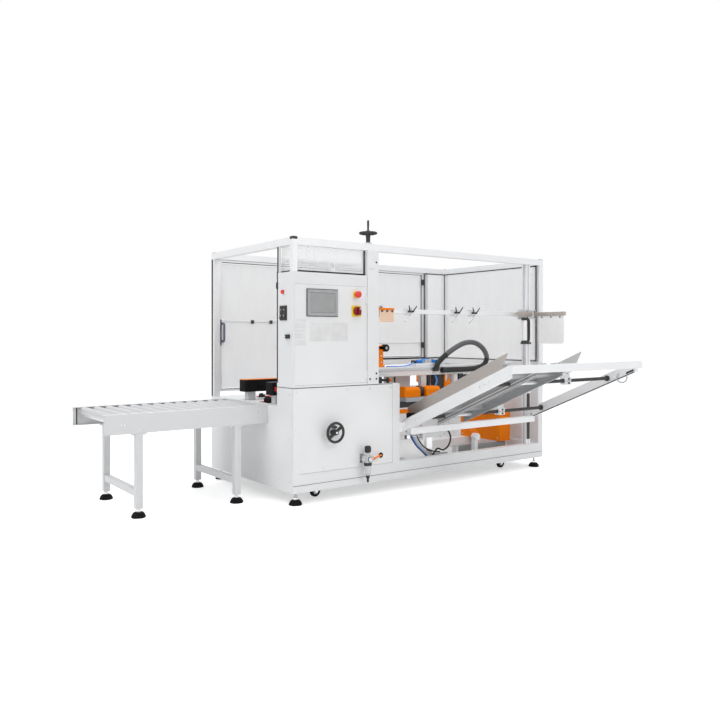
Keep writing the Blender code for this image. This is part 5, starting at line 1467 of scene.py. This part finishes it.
@dataclass
class Inside:
    """What opens, pushes, drives and tapes the carton."""

    beam: tuple[float, float] = (0.26, 0.34)
    beam_top: float = 0.72
    beam_bottom: float = 0.66

    def build(self, nodes: dict[str, bpy.types.Object]) -> None:
        """Makes the machinery inside."""
        self.beam_fittings()
        self.opening_arm()
        self.pusher()
        self.conduit()
        self.drive(nodes)
        self.belts()
        self.tape()
        self.flaps()
        self.pneumatics()
        LOG.info("inside")

    def beam_fittings(self) -> None:
        """A linear rail on the beam's face, stops, and what hangs under the beam."""
        face, top = self.beam[0], self.beam_top
        rail = Shape().box((0.76, face - 0.006, top - 0.026), (1.96, face - 0.0003, top - 0.01))
        rail.box((0.76, face - 0.01, top - 0.024), (1.96, face - 0.006, top - 0.0205))
        rail.box((0.76, face - 0.01, top - 0.0155), (1.96, face - 0.006, top - 0.012))
        rail.piece("beam_linear_rail", ALLOY, bevel=0.0004)
        Shape().box((0.735, face - 0.022, top - 0.045), (0.765, face - 0.0003,
            top + 0.001)).piece("beam_stop", SHADE_WHITE, bevel=0.0012)
        low = self.beam_bottom
        posts = Shape().box((1.15, 0.268, 0.52), (1.196, 0.3, low - 0.0003))
        posts.box((0.9, 0.345, 0.52), (1.12, 0.351, low - 0.004))
        posts.piece("beam_posts", SHADE_WHITE, bevel=0.001)
        dark = Shape().box((1.212, 0.27, 0.52), (1.236, 0.296, low - 0.0003))
        dark.box((1.29, 0.272, 0.545), (1.352, 0.33, low - 0.0003))
        dark.rod((1.5, 0.28, low - 0.016), (1.86, 0.28, low - 0.016), 0.008, 20)
        dark.box((1.495, 0.268, low - 0.045), (1.535, 0.292, low - 0.0003))
        dark.piece("beam_dark_blocks", BLACK, bevel=0.0015)
        rods = Shape().rod((1.5, 0.3, low - 0.034), (1.86, 0.3, low - 0.034), 0.01, 24)
        rods.piece("beam_guide_rods", BRIGHT, bevel=0.0008)
        cylinder = Shape().rod((1.458, 0.275, 0.56), (1.458, 0.275, low - 0.002), 0.021, 28)
        cylinder.box((1.44, 0.296, 0.566), (1.476, 0.33, low - 0.0003))
        cylinder.piece("beam_cylinder", DOOR_WHITE, bevel=0.0015)
        orange = Shape().box((1.354, 0.262, 0.535), (1.364, 0.33, low - 0.0003))
        orange.prism("Y", 0.268, 0.276, [(1.366, 0.548), (1.412, 0.548), (1.412, 0.618), (1.396, 0.632),
            (1.384, 0.612), (1.366, 0.6)])
        orange.piece("beam_orange_bracket", ORANGE, bevel=0.001)
        hose = Shape().tube(smooth_line([(1.268, 0.262, 0.655), (1.272, 0.25, 0.62), (1.256, 0.246, 0.585),
            (1.25, 0.25, 0.54)], 6), 0.006, 12)
        hose.piece("beam_hose", BLUE, bevel=0)

    def opening_arm(self) -> None:
        """The arm that opens a carton: a bearing, a flat lever and a rubber roller."""
        low, high = Site.box("opening_arm")
        x, y = 0.836, (self.beam[0] + self.beam[1]) / 2
        top = high.z
        arm = Shape().turned([(0, low.z + 0.012), (0.024, low.z + 0.012), (0.026, low.z + 0.01),
            (0.026, low.z), (0, low.z)], (x, y, 0))
        arm.box((x - 0.016, y - 0.006, low.z + 0.01), (x + 0.016, y + 0.006, top - 0.009))
        arm.box((x - 0.016, y - 0.006, top - 0.034), (high.x - 0.022, y + 0.006, top - 0.012))
        arm.piece("opening_arm_lever", ORANGE, "opening_arm", bevel=0.0015, replaces=["opening_arm"])
        end = high.x - 0.0245
        axle = top - 0.0245
        roller = Shape().rod((end, y - 0.0175, axle), (end, y - 0.0065, axle), 0.0235, 36)
        roller.rod((end, y + 0.0065, axle), (end, y + 0.0175, axle), 0.0235, 36)
        roller.piece("opening_arm_roller", RUBBER, "opening_arm", bevel=0.0015)
        Shape().turned([(0, 0.0015), (0.009, 0.0015), (0.01, 0.0), (0, 0.0)], (end, y - 0.0175, axle),
            (0, -1, 0), 24).piece("opening_arm_hub", GREY, "opening_arm", bevel=0)
        bolts = Shape()
        bolts.rod((end, y - 0.0185, axle), (end, y + 0.0185, axle), 0.0045, 6)
        bolts.rod((x, y - 0.0075, low.z + 0.03), (x, y - 0.0055, low.z + 0.03), 0.005, 6)
        bolts.rod((x, y - 0.0075, low.z + 0.07), (x, y - 0.0055, low.z + 0.07), 0.005, 6)
        bolts.piece("opening_arm_bolts", BRIGHT, "opening_arm", bevel=0.0003)

    def pusher(self) -> None:
        """The pusher: a carriage on the beam with its valves and tubes, and the plate that hangs behind."""
        low, high = Site.box("pusher")
        front, deck, length = low.y, self.beam_top + 0.0006, 0.22
        carriage = Shape().box((low.x, front, deck), (low.x + length, front + 0.086, deck + 0.016))
        carriage.piece("pusher_carriage", RAIL_ALLOY, "pusher", bevel=0.002, replaces=["pusher"])
        link = Shape().box((low.x + length - 0.03, self.beam[1] + 0.002, self.beam_top - 0.02),
            (high.x - 0.002, self.beam[1] + 0.022, deck + 0.028))
        link.piece("pusher_link", SHADE_WHITE, "pusher", bevel=0.0015)
        plate = Shape().prism("X", high.x - 0.012, high.x - 0.006,
            [(self.beam[1] + 0.006, low.z + 0.01), (self.beam[1] + 0.016, low.z + 0.0005),
            (high.y - 0.01, low.z + 0.0005), (high.y - 0.0005, low.z + 0.01), (high.y - 0.0005, deck),
            (high.y - 0.014, deck + 0.018), (self.beam[1] + 0.024, deck + 0.018)])
        plate.box((high.x - 0.006, self.beam[1] + 0.02, low.z + 0.012),
            (high.x - 0.0005, self.beam[1] + 0.03, deck))
        plate.box((high.x - 0.006, high.y - 0.04, low.z + 0.012), (high.x - 0.0005, high.y - 0.03, deck))
        plate.piece("pusher_plate", ORANGE, "pusher", bevel=0.0008)
        base = deck + 0.0163
        valves = Shape()
        for i in range(3):
            x = low.x + 0.09 + i * 0.018
            valves.box((x, front + 0.006, base), (x + 0.016, front + 0.05, base + 0.026))
        valves.box((low.x + 0.08, front + 0.004, base - 0.001),
            (low.x + 0.152, front + 0.054, base + 0.004))
        valves.piece("pusher_valves", PALE_GREY, "pusher", bevel=0.001)
        blocks = Shape()
        for i in range(3):
            x = low.x + 0.028 + i * 0.018
            blocks.rod((x, front + 0.02, base - 0.001), (x, front + 0.02, base + 0.024), 0.0075, 20)
            blocks.rod((x, front + 0.02, base + 0.014), (x, front + 0.004, base + 0.014), 0.005, 16)
        blocks.box((low.x + 0.158, front + 0.006, base), (low.x + 0.2, front + 0.04, base + 0.022))
        blocks.piece("pusher_fittings", BLUE, "pusher", bevel=0.0008)
        clamp = Shape().box((low.x + 0.001, front + 0.01, base), (low.x + 0.016, front + 0.05, base + 0.02))
        clamp.rod((low.x + 0.196, front + 0.06, base), (low.x + 0.196, front + 0.06, base + 0.024), 0.01,
            20)
        clamp.piece("pusher_clamp", BLACK, "pusher", bevel=0.001)
        tubes = Shape()
        for i in range(3):
            x = low.x + 0.098 + i * 0.018
            tubes.tube(smooth_line([(x, front + 0.02, base + 0.024),
                (x - 0.004, front + 0.018, base + 0.0278), (x - 0.03, front + 0.016, base + 0.0275),
                (x - 0.052, front + 0.012, base + 0.02), (x - 0.068, front + 0.008, base + 0.015)], 5),
                0.0024, 8)
        tubes.piece("pusher_tubes", BLUE, "pusher", bevel=0)
        leads = Shape()
        for i in range(2):
            back = self.beam[0] + 0.012 + i * 0.009
            leads.tube(smooth_line([(0.868, back, self.beam_top + 0.004),
                (0.93, back - 0.002, self.beam_top + 0.0032), (1.01, back + 0.004, self.beam_top + 0.0032),
                (1.06, back, self.beam_top + 0.01), (1.092, back + 0.002, self.beam_top + 0.024)], 6),
                0.003, 8)
        leads.piece("beam_tubes", BLUE, bevel=0)

    def conduit(self) -> None:
        """The looped corrugated conduit: grey over the top of the loop as a painted highlight, black
        elsewhere.
        """
        radius = 0.0175
        y = self.beam[0] - radius - 0.0003
        low = self.beam_bottom + radius + 0.012
        route = smooth_line([(1.258, y, low + 0.01), (1.285, y, low + 0.055), (1.36, y, low + 0.108),
            (1.44, y, low + 0.15), (1.53, y, low + 0.181), (1.62, y, low + 0.18), (1.695, y, low + 0.145),
            (1.738, y, low + 0.088), (1.722, y, low + 0.036), (1.66, y, low + 0.009), (1.56, y, low),
            (1.44, y, low), (1.33, y, low)], 24)
        places = [route[0]]
        for a, b in zip(route, route[1:]):
            count = max(1, round((b - a).length / 0.0022))
            places += [a.lerp(b, (i + 1) / count) for i in range(count)]
        first = next(i for i, place in enumerate(places) if place.x > 1.35)
        second = next(i for i, place in enumerate(places) if place.z < low + 0.075 and place.x > 1.7)
        # The top of the loop is grey as a painted highlight; the rest is black.
        for name, finish, start, end in (("conduit_lower", BLACK, second, len(places)),
                ("conduit_start", BLACK, 0, first + 1), ("conduit_loop", CONDUIT_HIGHLIGHT, first, second + 1)):
            part = places[start:end]
            shape = Shape()
            rings = []
            for i, place in enumerate(part):
                run = (part[min(i + 1, len(part) - 1)] - part[max(i - 1, 0)]).normalized()
                side = Vector((0, 1, 0))
                over = run.cross(side)
                wide = radius - (0.0 if (i + start) % 3 else 0.003)
                rings.append([shape.bm.verts.new(place + wide * (side * math.cos(math.tau * k / 20) + over
                    * math.sin(math.tau * k / 20))) for k in range(20)])
            for one, other in zip(rings, rings[1:]):
                for k in range(20):
                    j = (k + 1) % 20
                    shape.bm.faces.new((one[k], one[j], other[j], other[k]))
            shape.bm.faces.new(list(reversed(rings[0])))
            shape.bm.faces.new(rings[-1])
            shape.piece(name, finish, bevel=0, replaces=["cable_conduit"] if name == "conduit_lower"
                else [], flat=80)
        ends = Shape()
        start, finish = route[0], route[-1]
        ends.rod(finish - Vector((0.02, 0, 0)), finish + Vector((0.006, 0, 0)), radius + 0.002, 24)
        ends.rod(start - Vector((0, 0, 0.016)), start + Vector((0, 0, 0.006)), radius + 0.002, 24)
        ends.piece("conduit_glands", BLACK, bevel=0.001)

    def drive(self, nodes: dict[str, bpy.types.Object]) -> None:
        """The orange drive box, with a lid seam, screws and a roller bracket in front of it."""
        dress(nodes, "drive_box", ORANGE, 0.003)
        low, high = Site.box("drive_box")
        seam = Shape().box((low.x - 0.0004, low.y - 0.0004, high.z - 0.022),
            (high.x + 0.0004, high.y + 0.0004, high.z - 0.0208))
        seam.piece("drive_box_seam", GASKET, bevel=0)
        screws([(low.x, y, z) for y in (low.y + 0.02, high.y - 0.02) for z in (low.z + 0.02,
            high.z - 0.04)], (-1, 0, 0), 0.005, 0.003).piece("drive_box_screws", BRIGHT, bevel=0)
        bracket = Shape().box((1.478, 0.1, 0.1185), (1.506, 0.134, 0.24))
        bracket.rod((1.497, 0.092, 0.243), (1.497, 0.134, 0.243), 0.024, 32)
        bracket.piece("roller_bracket", DOOR_WHITE, bevel=0.002)
        arm = Shape().prism("Y", 0.15, 0.158, [(1.5, 0.235), (1.54, 0.19), (1.566, 0.2), (1.56, 0.262),
            (1.48, 0.345), (1.462, 0.335)])
        arm.rod((1.522, 0.136, 0.222), (1.522, 0.149, 0.222), 0.034, 32)
        arm.piece("roller_bracket_arm", ORANGE, bevel=0.001)
        strips = Shape().box((1.4, 0.197, 0.18), (1.788, 0.237, 0.1812))
        strips.box((1.3, 0.12, 0.1183), (1.86, 0.15, 0.126))
        strips.piece("skid_strips", GREY, bevel=0)
        Shape().box((1.42, 0.1955, 0.122), (1.88, 0.1968, 0.177)).piece("skid_face", SKIRT_ALLOY, bevel=0)

    def belts(self) -> None:
        """Both side belts: a dark belt round end pulleys, a cover plate and feet."""
        for side, body in (("near", "side_belt_near"), ("far", "body")):
            node = f"side_belt_{side}"
            low, high = Site.box(node)
            middle = (low.y + high.y) / 2
            z0, z1 = high.z - 0.074, high.z
            belt = Shape()
            outline = []
            corner = 0.014
            for x, y, first in ((high.x, low.y, -90), (high.x, high.y, 0), (low.x, high.y, 90),
                    (low.x, low.y, 180)):
                centre_x = x + (corner if x == low.x else -corner)
                centre_y = y + (corner if y == low.y else -corner)
                for step in range(7):
                    turn = math.radians(first + 15 * step)
                    outline.append((centre_x + corner * math.cos(turn), centre_y + corner * math.sin(turn)))
            belt.prism("Z", z0, z1 - 0.0035, outline)
            belt.piece(f"{node}_belt", RUBBER, body, bevel=0.001, replaces=[node])
            cover = Shape()
            inner = [(x, middle + (y - middle) * 0.8) for x, y in outline]
            cover.prism("Z", z1 - 0.0035, z1, inner)
            feet = Shape()
            foot_low = low.z
            for foot in (low.x + 0.03, high.x - 0.08):
                feet.box((foot, low.y + 0.02, foot_low), (foot + 0.05, high.y - 0.02, z0 + 0.001))
            feet.piece(f"{node}_feet", SHADE_WHITE, body, bevel=0.0012)
            cover.piece(f"{node}_cover", ORANGE if side == "far" else BLACK, body, bevel=0.0012)
            if side == "far":
                knob = Shape().turned([(0, 0.024), (0.011, 0.024), (0.013, 0.021), (0.013, 0.0), (0, 0.0)],
                    (0.218, 0.738, TRACK_SKIN))
                knob.box((0.196, 0.727, TRACK_SKIN), (0.24, 0.732, 0.548))
                knob.piece("track_knob", BLACK, bevel=0)
                Shape().box((0.034, 0.2485, 0.605), (0.05, 0.2505, 0.63)).piece("belt_tag", RED,
                    "side_belt_near", bevel=0.0004)
                Shape().box((0.185, 0.738, TRACK_SKIN), (0.62, 0.744, 0.537)).piece("track_red_strip", RED,
                    bevel=0.0006)
            heads = [(x, middle, z1 - 0.004) for x in (low.x + 0.042, (low.x + high.x) / 2, high.x - 0.042)]
            screws(heads, (0, 0, 1), 0.009, 0.004).piece(f"{node}_screws", BLACK, body, bevel=0)

    def tape(self) -> None:
        """The tape unit under the track: red side plates, rollers, and the tape's roll."""
        low, high = Site.box("tape_unit")
        track = 0.53
        sides = Shape()
        for y0 in (low.y, high.y - 0.006):
            sides.prism("Y", y0, y0 + 0.006, [(low.x, track - 0.075), (high.x, track - 0.075),
                (high.x, track - 0.004), (high.x - 0.05, track), (low.x, track)])
        for x in (low.x + 0.03, high.x - 0.03):
            sides.box((x - 0.006, low.y + 0.005, track - 0.06), (x + 0.006, high.y - 0.005, track - 0.05))
        sides.piece("tape_unit_sides", RED, bevel=0.0015, replaces=["tape_unit"])
        x = low.x + 0.05
        middle = (low.y + high.y) / 2
        height = high.z - track
        axle_z = high.z - 0.0222
        roll = Shape().rod((x, low.y + 0.022, axle_z), (x, high.y - 0.022, axle_z), 0.022, 32)
        roll.rod((low.x + 0.16, low.y + 0.022, track - 0.014), (low.x + 0.16, high.y - 0.022,
            track - 0.014), 0.016, 28)
        roll.piece("tape_unit_rollers", RUBBER, bevel=0.001)
        arms = Shape()
        for y in (low.y + 0.0168, high.y - 0.0208):
            arms.prism("Y", y, y + 0.004, [(x - 0.012, track - 0.03), (x + 0.075, track - 0.045),
                (x + 0.08, track - 0.03), (x + 0.012, axle_z + 0.01), (x - 0.01, axle_z + 0.01)])
        arms.rod((x, low.y + 0.0168, axle_z), (x, high.y - 0.0168, axle_z), 0.005, 16)
        arms.piece("tape_unit_arms", BRIGHT, bevel=0.0006)
        LOG.info("tape unit %.3f above the track, middle Y %.3f", height, middle)

    def flaps(self) -> None:
        """Orange gearboxes of the flap folders, their shaft, and guides beyond the column."""
        boxes = Shape()
        for x0, x1 in ((0.915, 1.042), (1.092, 1.212)):
            boxes.prism("X", x0, x1, [(0.15, DECK_TOP), (0.25, DECK_TOP), (0.25, 0.575), (0.236, 0.592),
                (0.164, 0.592), (0.15, 0.575)])
        boxes.box((0.905, 0.145, DECK_TOP), (0.915, 0.255, 0.6))
        boxes.piece("flap_gearboxes", ORANGE, bevel=0.003)
        Shape().rod((1.0415, 0.2, 0.562), (1.0925, 0.2, 0.562), 0.031, 32).rod((1.058, 0.2, 0.562),
            (1.076, 0.2, 0.562), 0.035, 32).piece("flap_coupling", BLACK, bevel=0.002)
        feet = Shape().box((0.905, 0.13, 0.5035), (1.225, 0.27, 0.53))
        feet.piece("flap_table", GREY, bevel=0.0015)
        under = Shape().box((0.78, 0.14, 0.47), (1.06, 0.26, 0.5))
        under.piece("flap_motor", BLACK, bevel=0.004)
        strip = Shape().box((0.76, 0.128, 0.436), (0.98, 0.14, 0.462))
        strip.piece("flap_lower_guide", ORANGE, bevel=0.001)
        tools = Shape().box((0.772, 0.24, 0.612), (0.8, 0.258, 0.6595))
        tools.rod((0.772, 0.246, 0.64), (0.846, 0.246, 0.64), 0.0085, 20)
        tools.rod((0.846, 0.24, 0.6), (0.846, 0.24, 0.655), 0.01, 20)
        tools.rod((0.905, 0.244, 0.616), (0.905, 0.244, 0.6585), 0.0065, 20)
        tools.tube(smooth_line([(0.846, 0.24, 0.606), (0.862, 0.236, 0.592), (0.888, 0.236, 0.596),
            (0.904, 0.244, 0.62)], 6), 0.0055, 10)
        tools.piece("flap_valves", BLACK, bevel=0.001)
        Shape().box((0.868, 0.243, 0.628), (0.882, 0.258, 0.646)).piece("flap_valve_button", ORANGE,
            bevel=0.001)
        plough = smooth_line([(0.8, 0.46, 0.56), (0.95, 0.46, 0.575), (1.1, 0.47, 0.6), (1.25, 0.5, 0.645)],
            6)
        rails = Shape().tube(plough, 0.007, 12)
        rails.tube([(p.x, 1.1 - p.y - 0.06, p.z) for p in plough], 0.007, 12)
        rails.box((0.745, 0.44, DECK_TOP), (0.815, 0.48, 0.562))
        rails.box((0.745, 0.56, DECK_TOP), (0.815, 0.6, 0.562))
        rails.piece("flap_rails", BRIGHT, bevel=0)

    def pneumatics(self) -> None:
        """A cylinder over the tray, a black hose loop, a bundle of tubes and a red tube."""
        y = 0.1
        cylinder = Shape().rod((1.01, y, 0.293), (1.16, y, 0.293), 0.0165, 28)
        cylinder.box((0.998, y - 0.019, 0.274), (1.014, y + 0.019, 0.312))
        cylinder.box((1.156, y - 0.019, 0.274), (1.172, y + 0.019, 0.312))
        cylinder.piece("air_cylinder", DOOR_WHITE, bevel=0.0015)
        rod = Shape().rod((0.9, y, 0.293), (0.998, y, 0.293), 0.006, 18)
        rod.box((0.875, y - 0.012, 0.281), (0.902, y + 0.012, 0.305))
        rod.box((1.06, y + 0.016, 0.1185), (1.11, y + 0.022, 0.3))
        rod.piece("air_cylinder_rod", BRIGHT, bevel=0.0008)
        loop = [(1.165, 0.112, 0.318), (1.2, 0.108, 0.322), (1.242, 0.108, 0.302), (1.262, 0.108, 0.256),
            (1.244, 0.108, 0.208), (1.198, 0.108, 0.184), (1.15, 0.11, 0.196), (1.118, 0.116, 0.165),
            (1.08, 0.13, 0.132)]
        hose = Shape().tube(smooth_line(loop, 8), 0.0055, 12)
        for route, radius, sides in (([(0.78, 0.1, 0.345), (0.85, 0.096, 0.352), (0.93, 0.096, 0.34),
                (0.985, 0.098, 0.318), (1.01, 0.1, 0.306)], 0.006, 12),
                ([(0.84, 0.092, 0.352), (0.88, 0.086, 0.328), (0.925, 0.086, 0.322), (0.965, 0.088, 0.33),
                (1.0, 0.094, 0.352)], 0.0075, 12), ([(1.0, 0.094, 0.34), (1.06, 0.088, 0.336),
                (1.12, 0.088, 0.338), (1.176, 0.094, 0.33)], 0.0048, 10),
                ([(0.96, 0.098, 0.3), (0.985, 0.094, 0.255), (1.03, 0.094, 0.214), (1.1, 0.094, 0.186),
                (1.16, 0.1, 0.176)], 0.0046, 10)):
            hose.tube(smooth_line(route, 6), radius, sides)
        hose.piece("black_hoses", BLACK, bevel=0)
        for name, finish, shift, radius in (("blue_tubes", BLUE, 0.0, 0.0036),
                ("grey_tubes", PALE_GREY, 0.011, 0.0052), ("dark_tubes", BLACK, -0.009, 0.0036)):
            route = smooth_line([(0.905 + shift, 0.095, 0.33), (0.92 + shift, 0.092, 0.29),
                (0.96 + shift, 0.09, 0.235), (1.02 + shift, 0.092, 0.185), (1.075 + shift, 0.1, 0.142),
                (1.14 + shift, 0.12, 0.127)], 6)
            tube = Shape().tube(route, radius, 10)
            tube.tube([point + Vector((0.012, 0.008, 0.004)) for point in route], radius, 10)
            tube.piece(name, finish, bevel=0)
        red = smooth_line([(1.085, 0.084, 0.126), (1.13, 0.08, 0.1225), (1.2, 0.084, 0.1225),
            (1.28, 0.11, 0.1225)], 6)
        Shape().tube(red, 0.0034, 8).piece("red_tube", RED, bevel=0)
        manifold = Shape().box((1.15, 0.13, 0.1185), (1.26, 0.165, 0.16))
        manifold.box((0.77, 0.075, 0.1185), (0.86, 0.125, 0.165))
        manifold.piece("air_manifold", GREY, bevel=0.002)


# ---------------------------------------------------------------- studio

@dataclass
class Studio:
    """Camera, lights, floor and background."""

    eye: Point = (-2.04, -3.349, 0.921)
    yaw: float = -36.62
    lens: float = 36.5
    shift: float = -0.0342

    def build(self) -> None:
        """Sets up the camera and everything round the machine."""
        scene = bpy.context.scene
        camera = bpy.data.cameras.new("camera")
        camera.lens, camera.sensor_width, camera.shift_y = self.lens, 36, self.shift
        camera.clip_start = 0.05
        eye = bpy.data.objects.new("camera", camera)
        eye.location = Vector(self.eye) + Site.origin
        eye.rotation_euler = (math.radians(90), 0, math.radians(self.yaw))
        scene.collection.objects.link(eye)
        scene.camera = eye
        scene.view_settings.view_transform = "Standard"
        self.lamp("key_light", (0.7, -4.7, 3.9), (0.1, 0, 0.6), 3.0, 64)
        self.lamp("left_light", (-3.3, 0.0, 3.9), (-0.4, 0.1, 0.8), 2.2, 50)
        self.lamp("top_light", (0.2, 0.1, 4.9), (0.2, 0, 0.6), 3.2, 62)
        self.lamp("back_light", (2.2, 3.6, 3.4), (0.4, 0, 0.9), 2.8, 52)
        self.world(scene)
        self.floor()
        LOG.info("studio")

    def lamp(self, name: str, place: Point, target: Point, size: float, power: float) -> None:
        """One square area lamp aimed at the target."""
        light = bpy.data.lights.new(name, "AREA")
        light.shape, light.size, light.energy = "SQUARE", size, power
        lamp = bpy.data.objects.new(name, light)
        lamp.location = place
        lamp.rotation_euler = (Vector(target) - Vector(place)).to_track_quat("-Z", "Y").to_euler()
        bpy.context.scene.collection.objects.link(lamp)

    def world(self, scene: bpy.types.Scene) -> None:
        """White to the camera and in reflections, soft grey light on everything."""
        world = bpy.data.worlds.new("studio")
        world.use_nodes = True
        tree = world.node_tree
        tree.nodes.clear()
        output = tree.nodes.new("ShaderNodeOutputWorld")
        mix = tree.nodes.new("ShaderNodeMixShader")
        path = tree.nodes.new("ShaderNodeLightPath")
        ambient = tree.nodes.new("ShaderNodeBackground")
        backdrop = tree.nodes.new("ShaderNodeBackground")
        ambient.inputs["Color"].default_value = (0.985, 0.99, 1.0, 1)
        ambient.inputs["Strength"].default_value = 0.6
        backdrop.inputs["Color"].default_value = (1, 1, 1, 1)
        backdrop.inputs["Strength"].default_value = 1.0
        seen = path.outputs["Is Camera Ray"]
        for name in ("Is Glossy Ray", "Is Transmission Ray"):
            either = tree.nodes.new("ShaderNodeMath")
            either.operation = "MAXIMUM"
            tree.links.new(seen, either.inputs[0])
            tree.links.new(path.outputs[name], either.inputs[1])
            seen = either.outputs[0]
        tree.links.new(seen, mix.inputs[0])
        tree.links.new(ambient.outputs[0], mix.inputs[1])
        tree.links.new(backdrop.outputs[0], mix.inputs[2])
        tree.links.new(mix.outputs[0], output.inputs["Surface"])
        scene.world = world

    def floor(self) -> None:
        """A plain pale floor."""
        mesh = bpy.data.meshes.new("floor")
        side = 30.0
        mesh.from_pydata([(-side, -side, 0), (side, -side, 0), (side, side, 0), (-side, side, 0)], [],
            [(0, 1, 2, 3)])
        floor = bpy.data.objects.new("floor", mesh)
        bpy.context.scene.collection.objects.link(floor)
        mesh.materials.append(FLOOR.material())


def main() -> None:
    """Loads the machine, dresses it, and sets up the studio."""
    logging.basicConfig(level=logging.INFO)
    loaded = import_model()
    nodes = loaded["nodes"]
    Site.settle()
    Footing(nodes=nodes).build()
    Conveyor().build(nodes)
    Body().build(nodes)
    Cabinet().build(nodes)
    Column().build(nodes)
    Guards().build(nodes)
    Magazine().build(nodes)
    HoldDown().build(nodes)
    Inside().build(nodes)
    Studio().build()


if __name__ == "__main__":
    main()
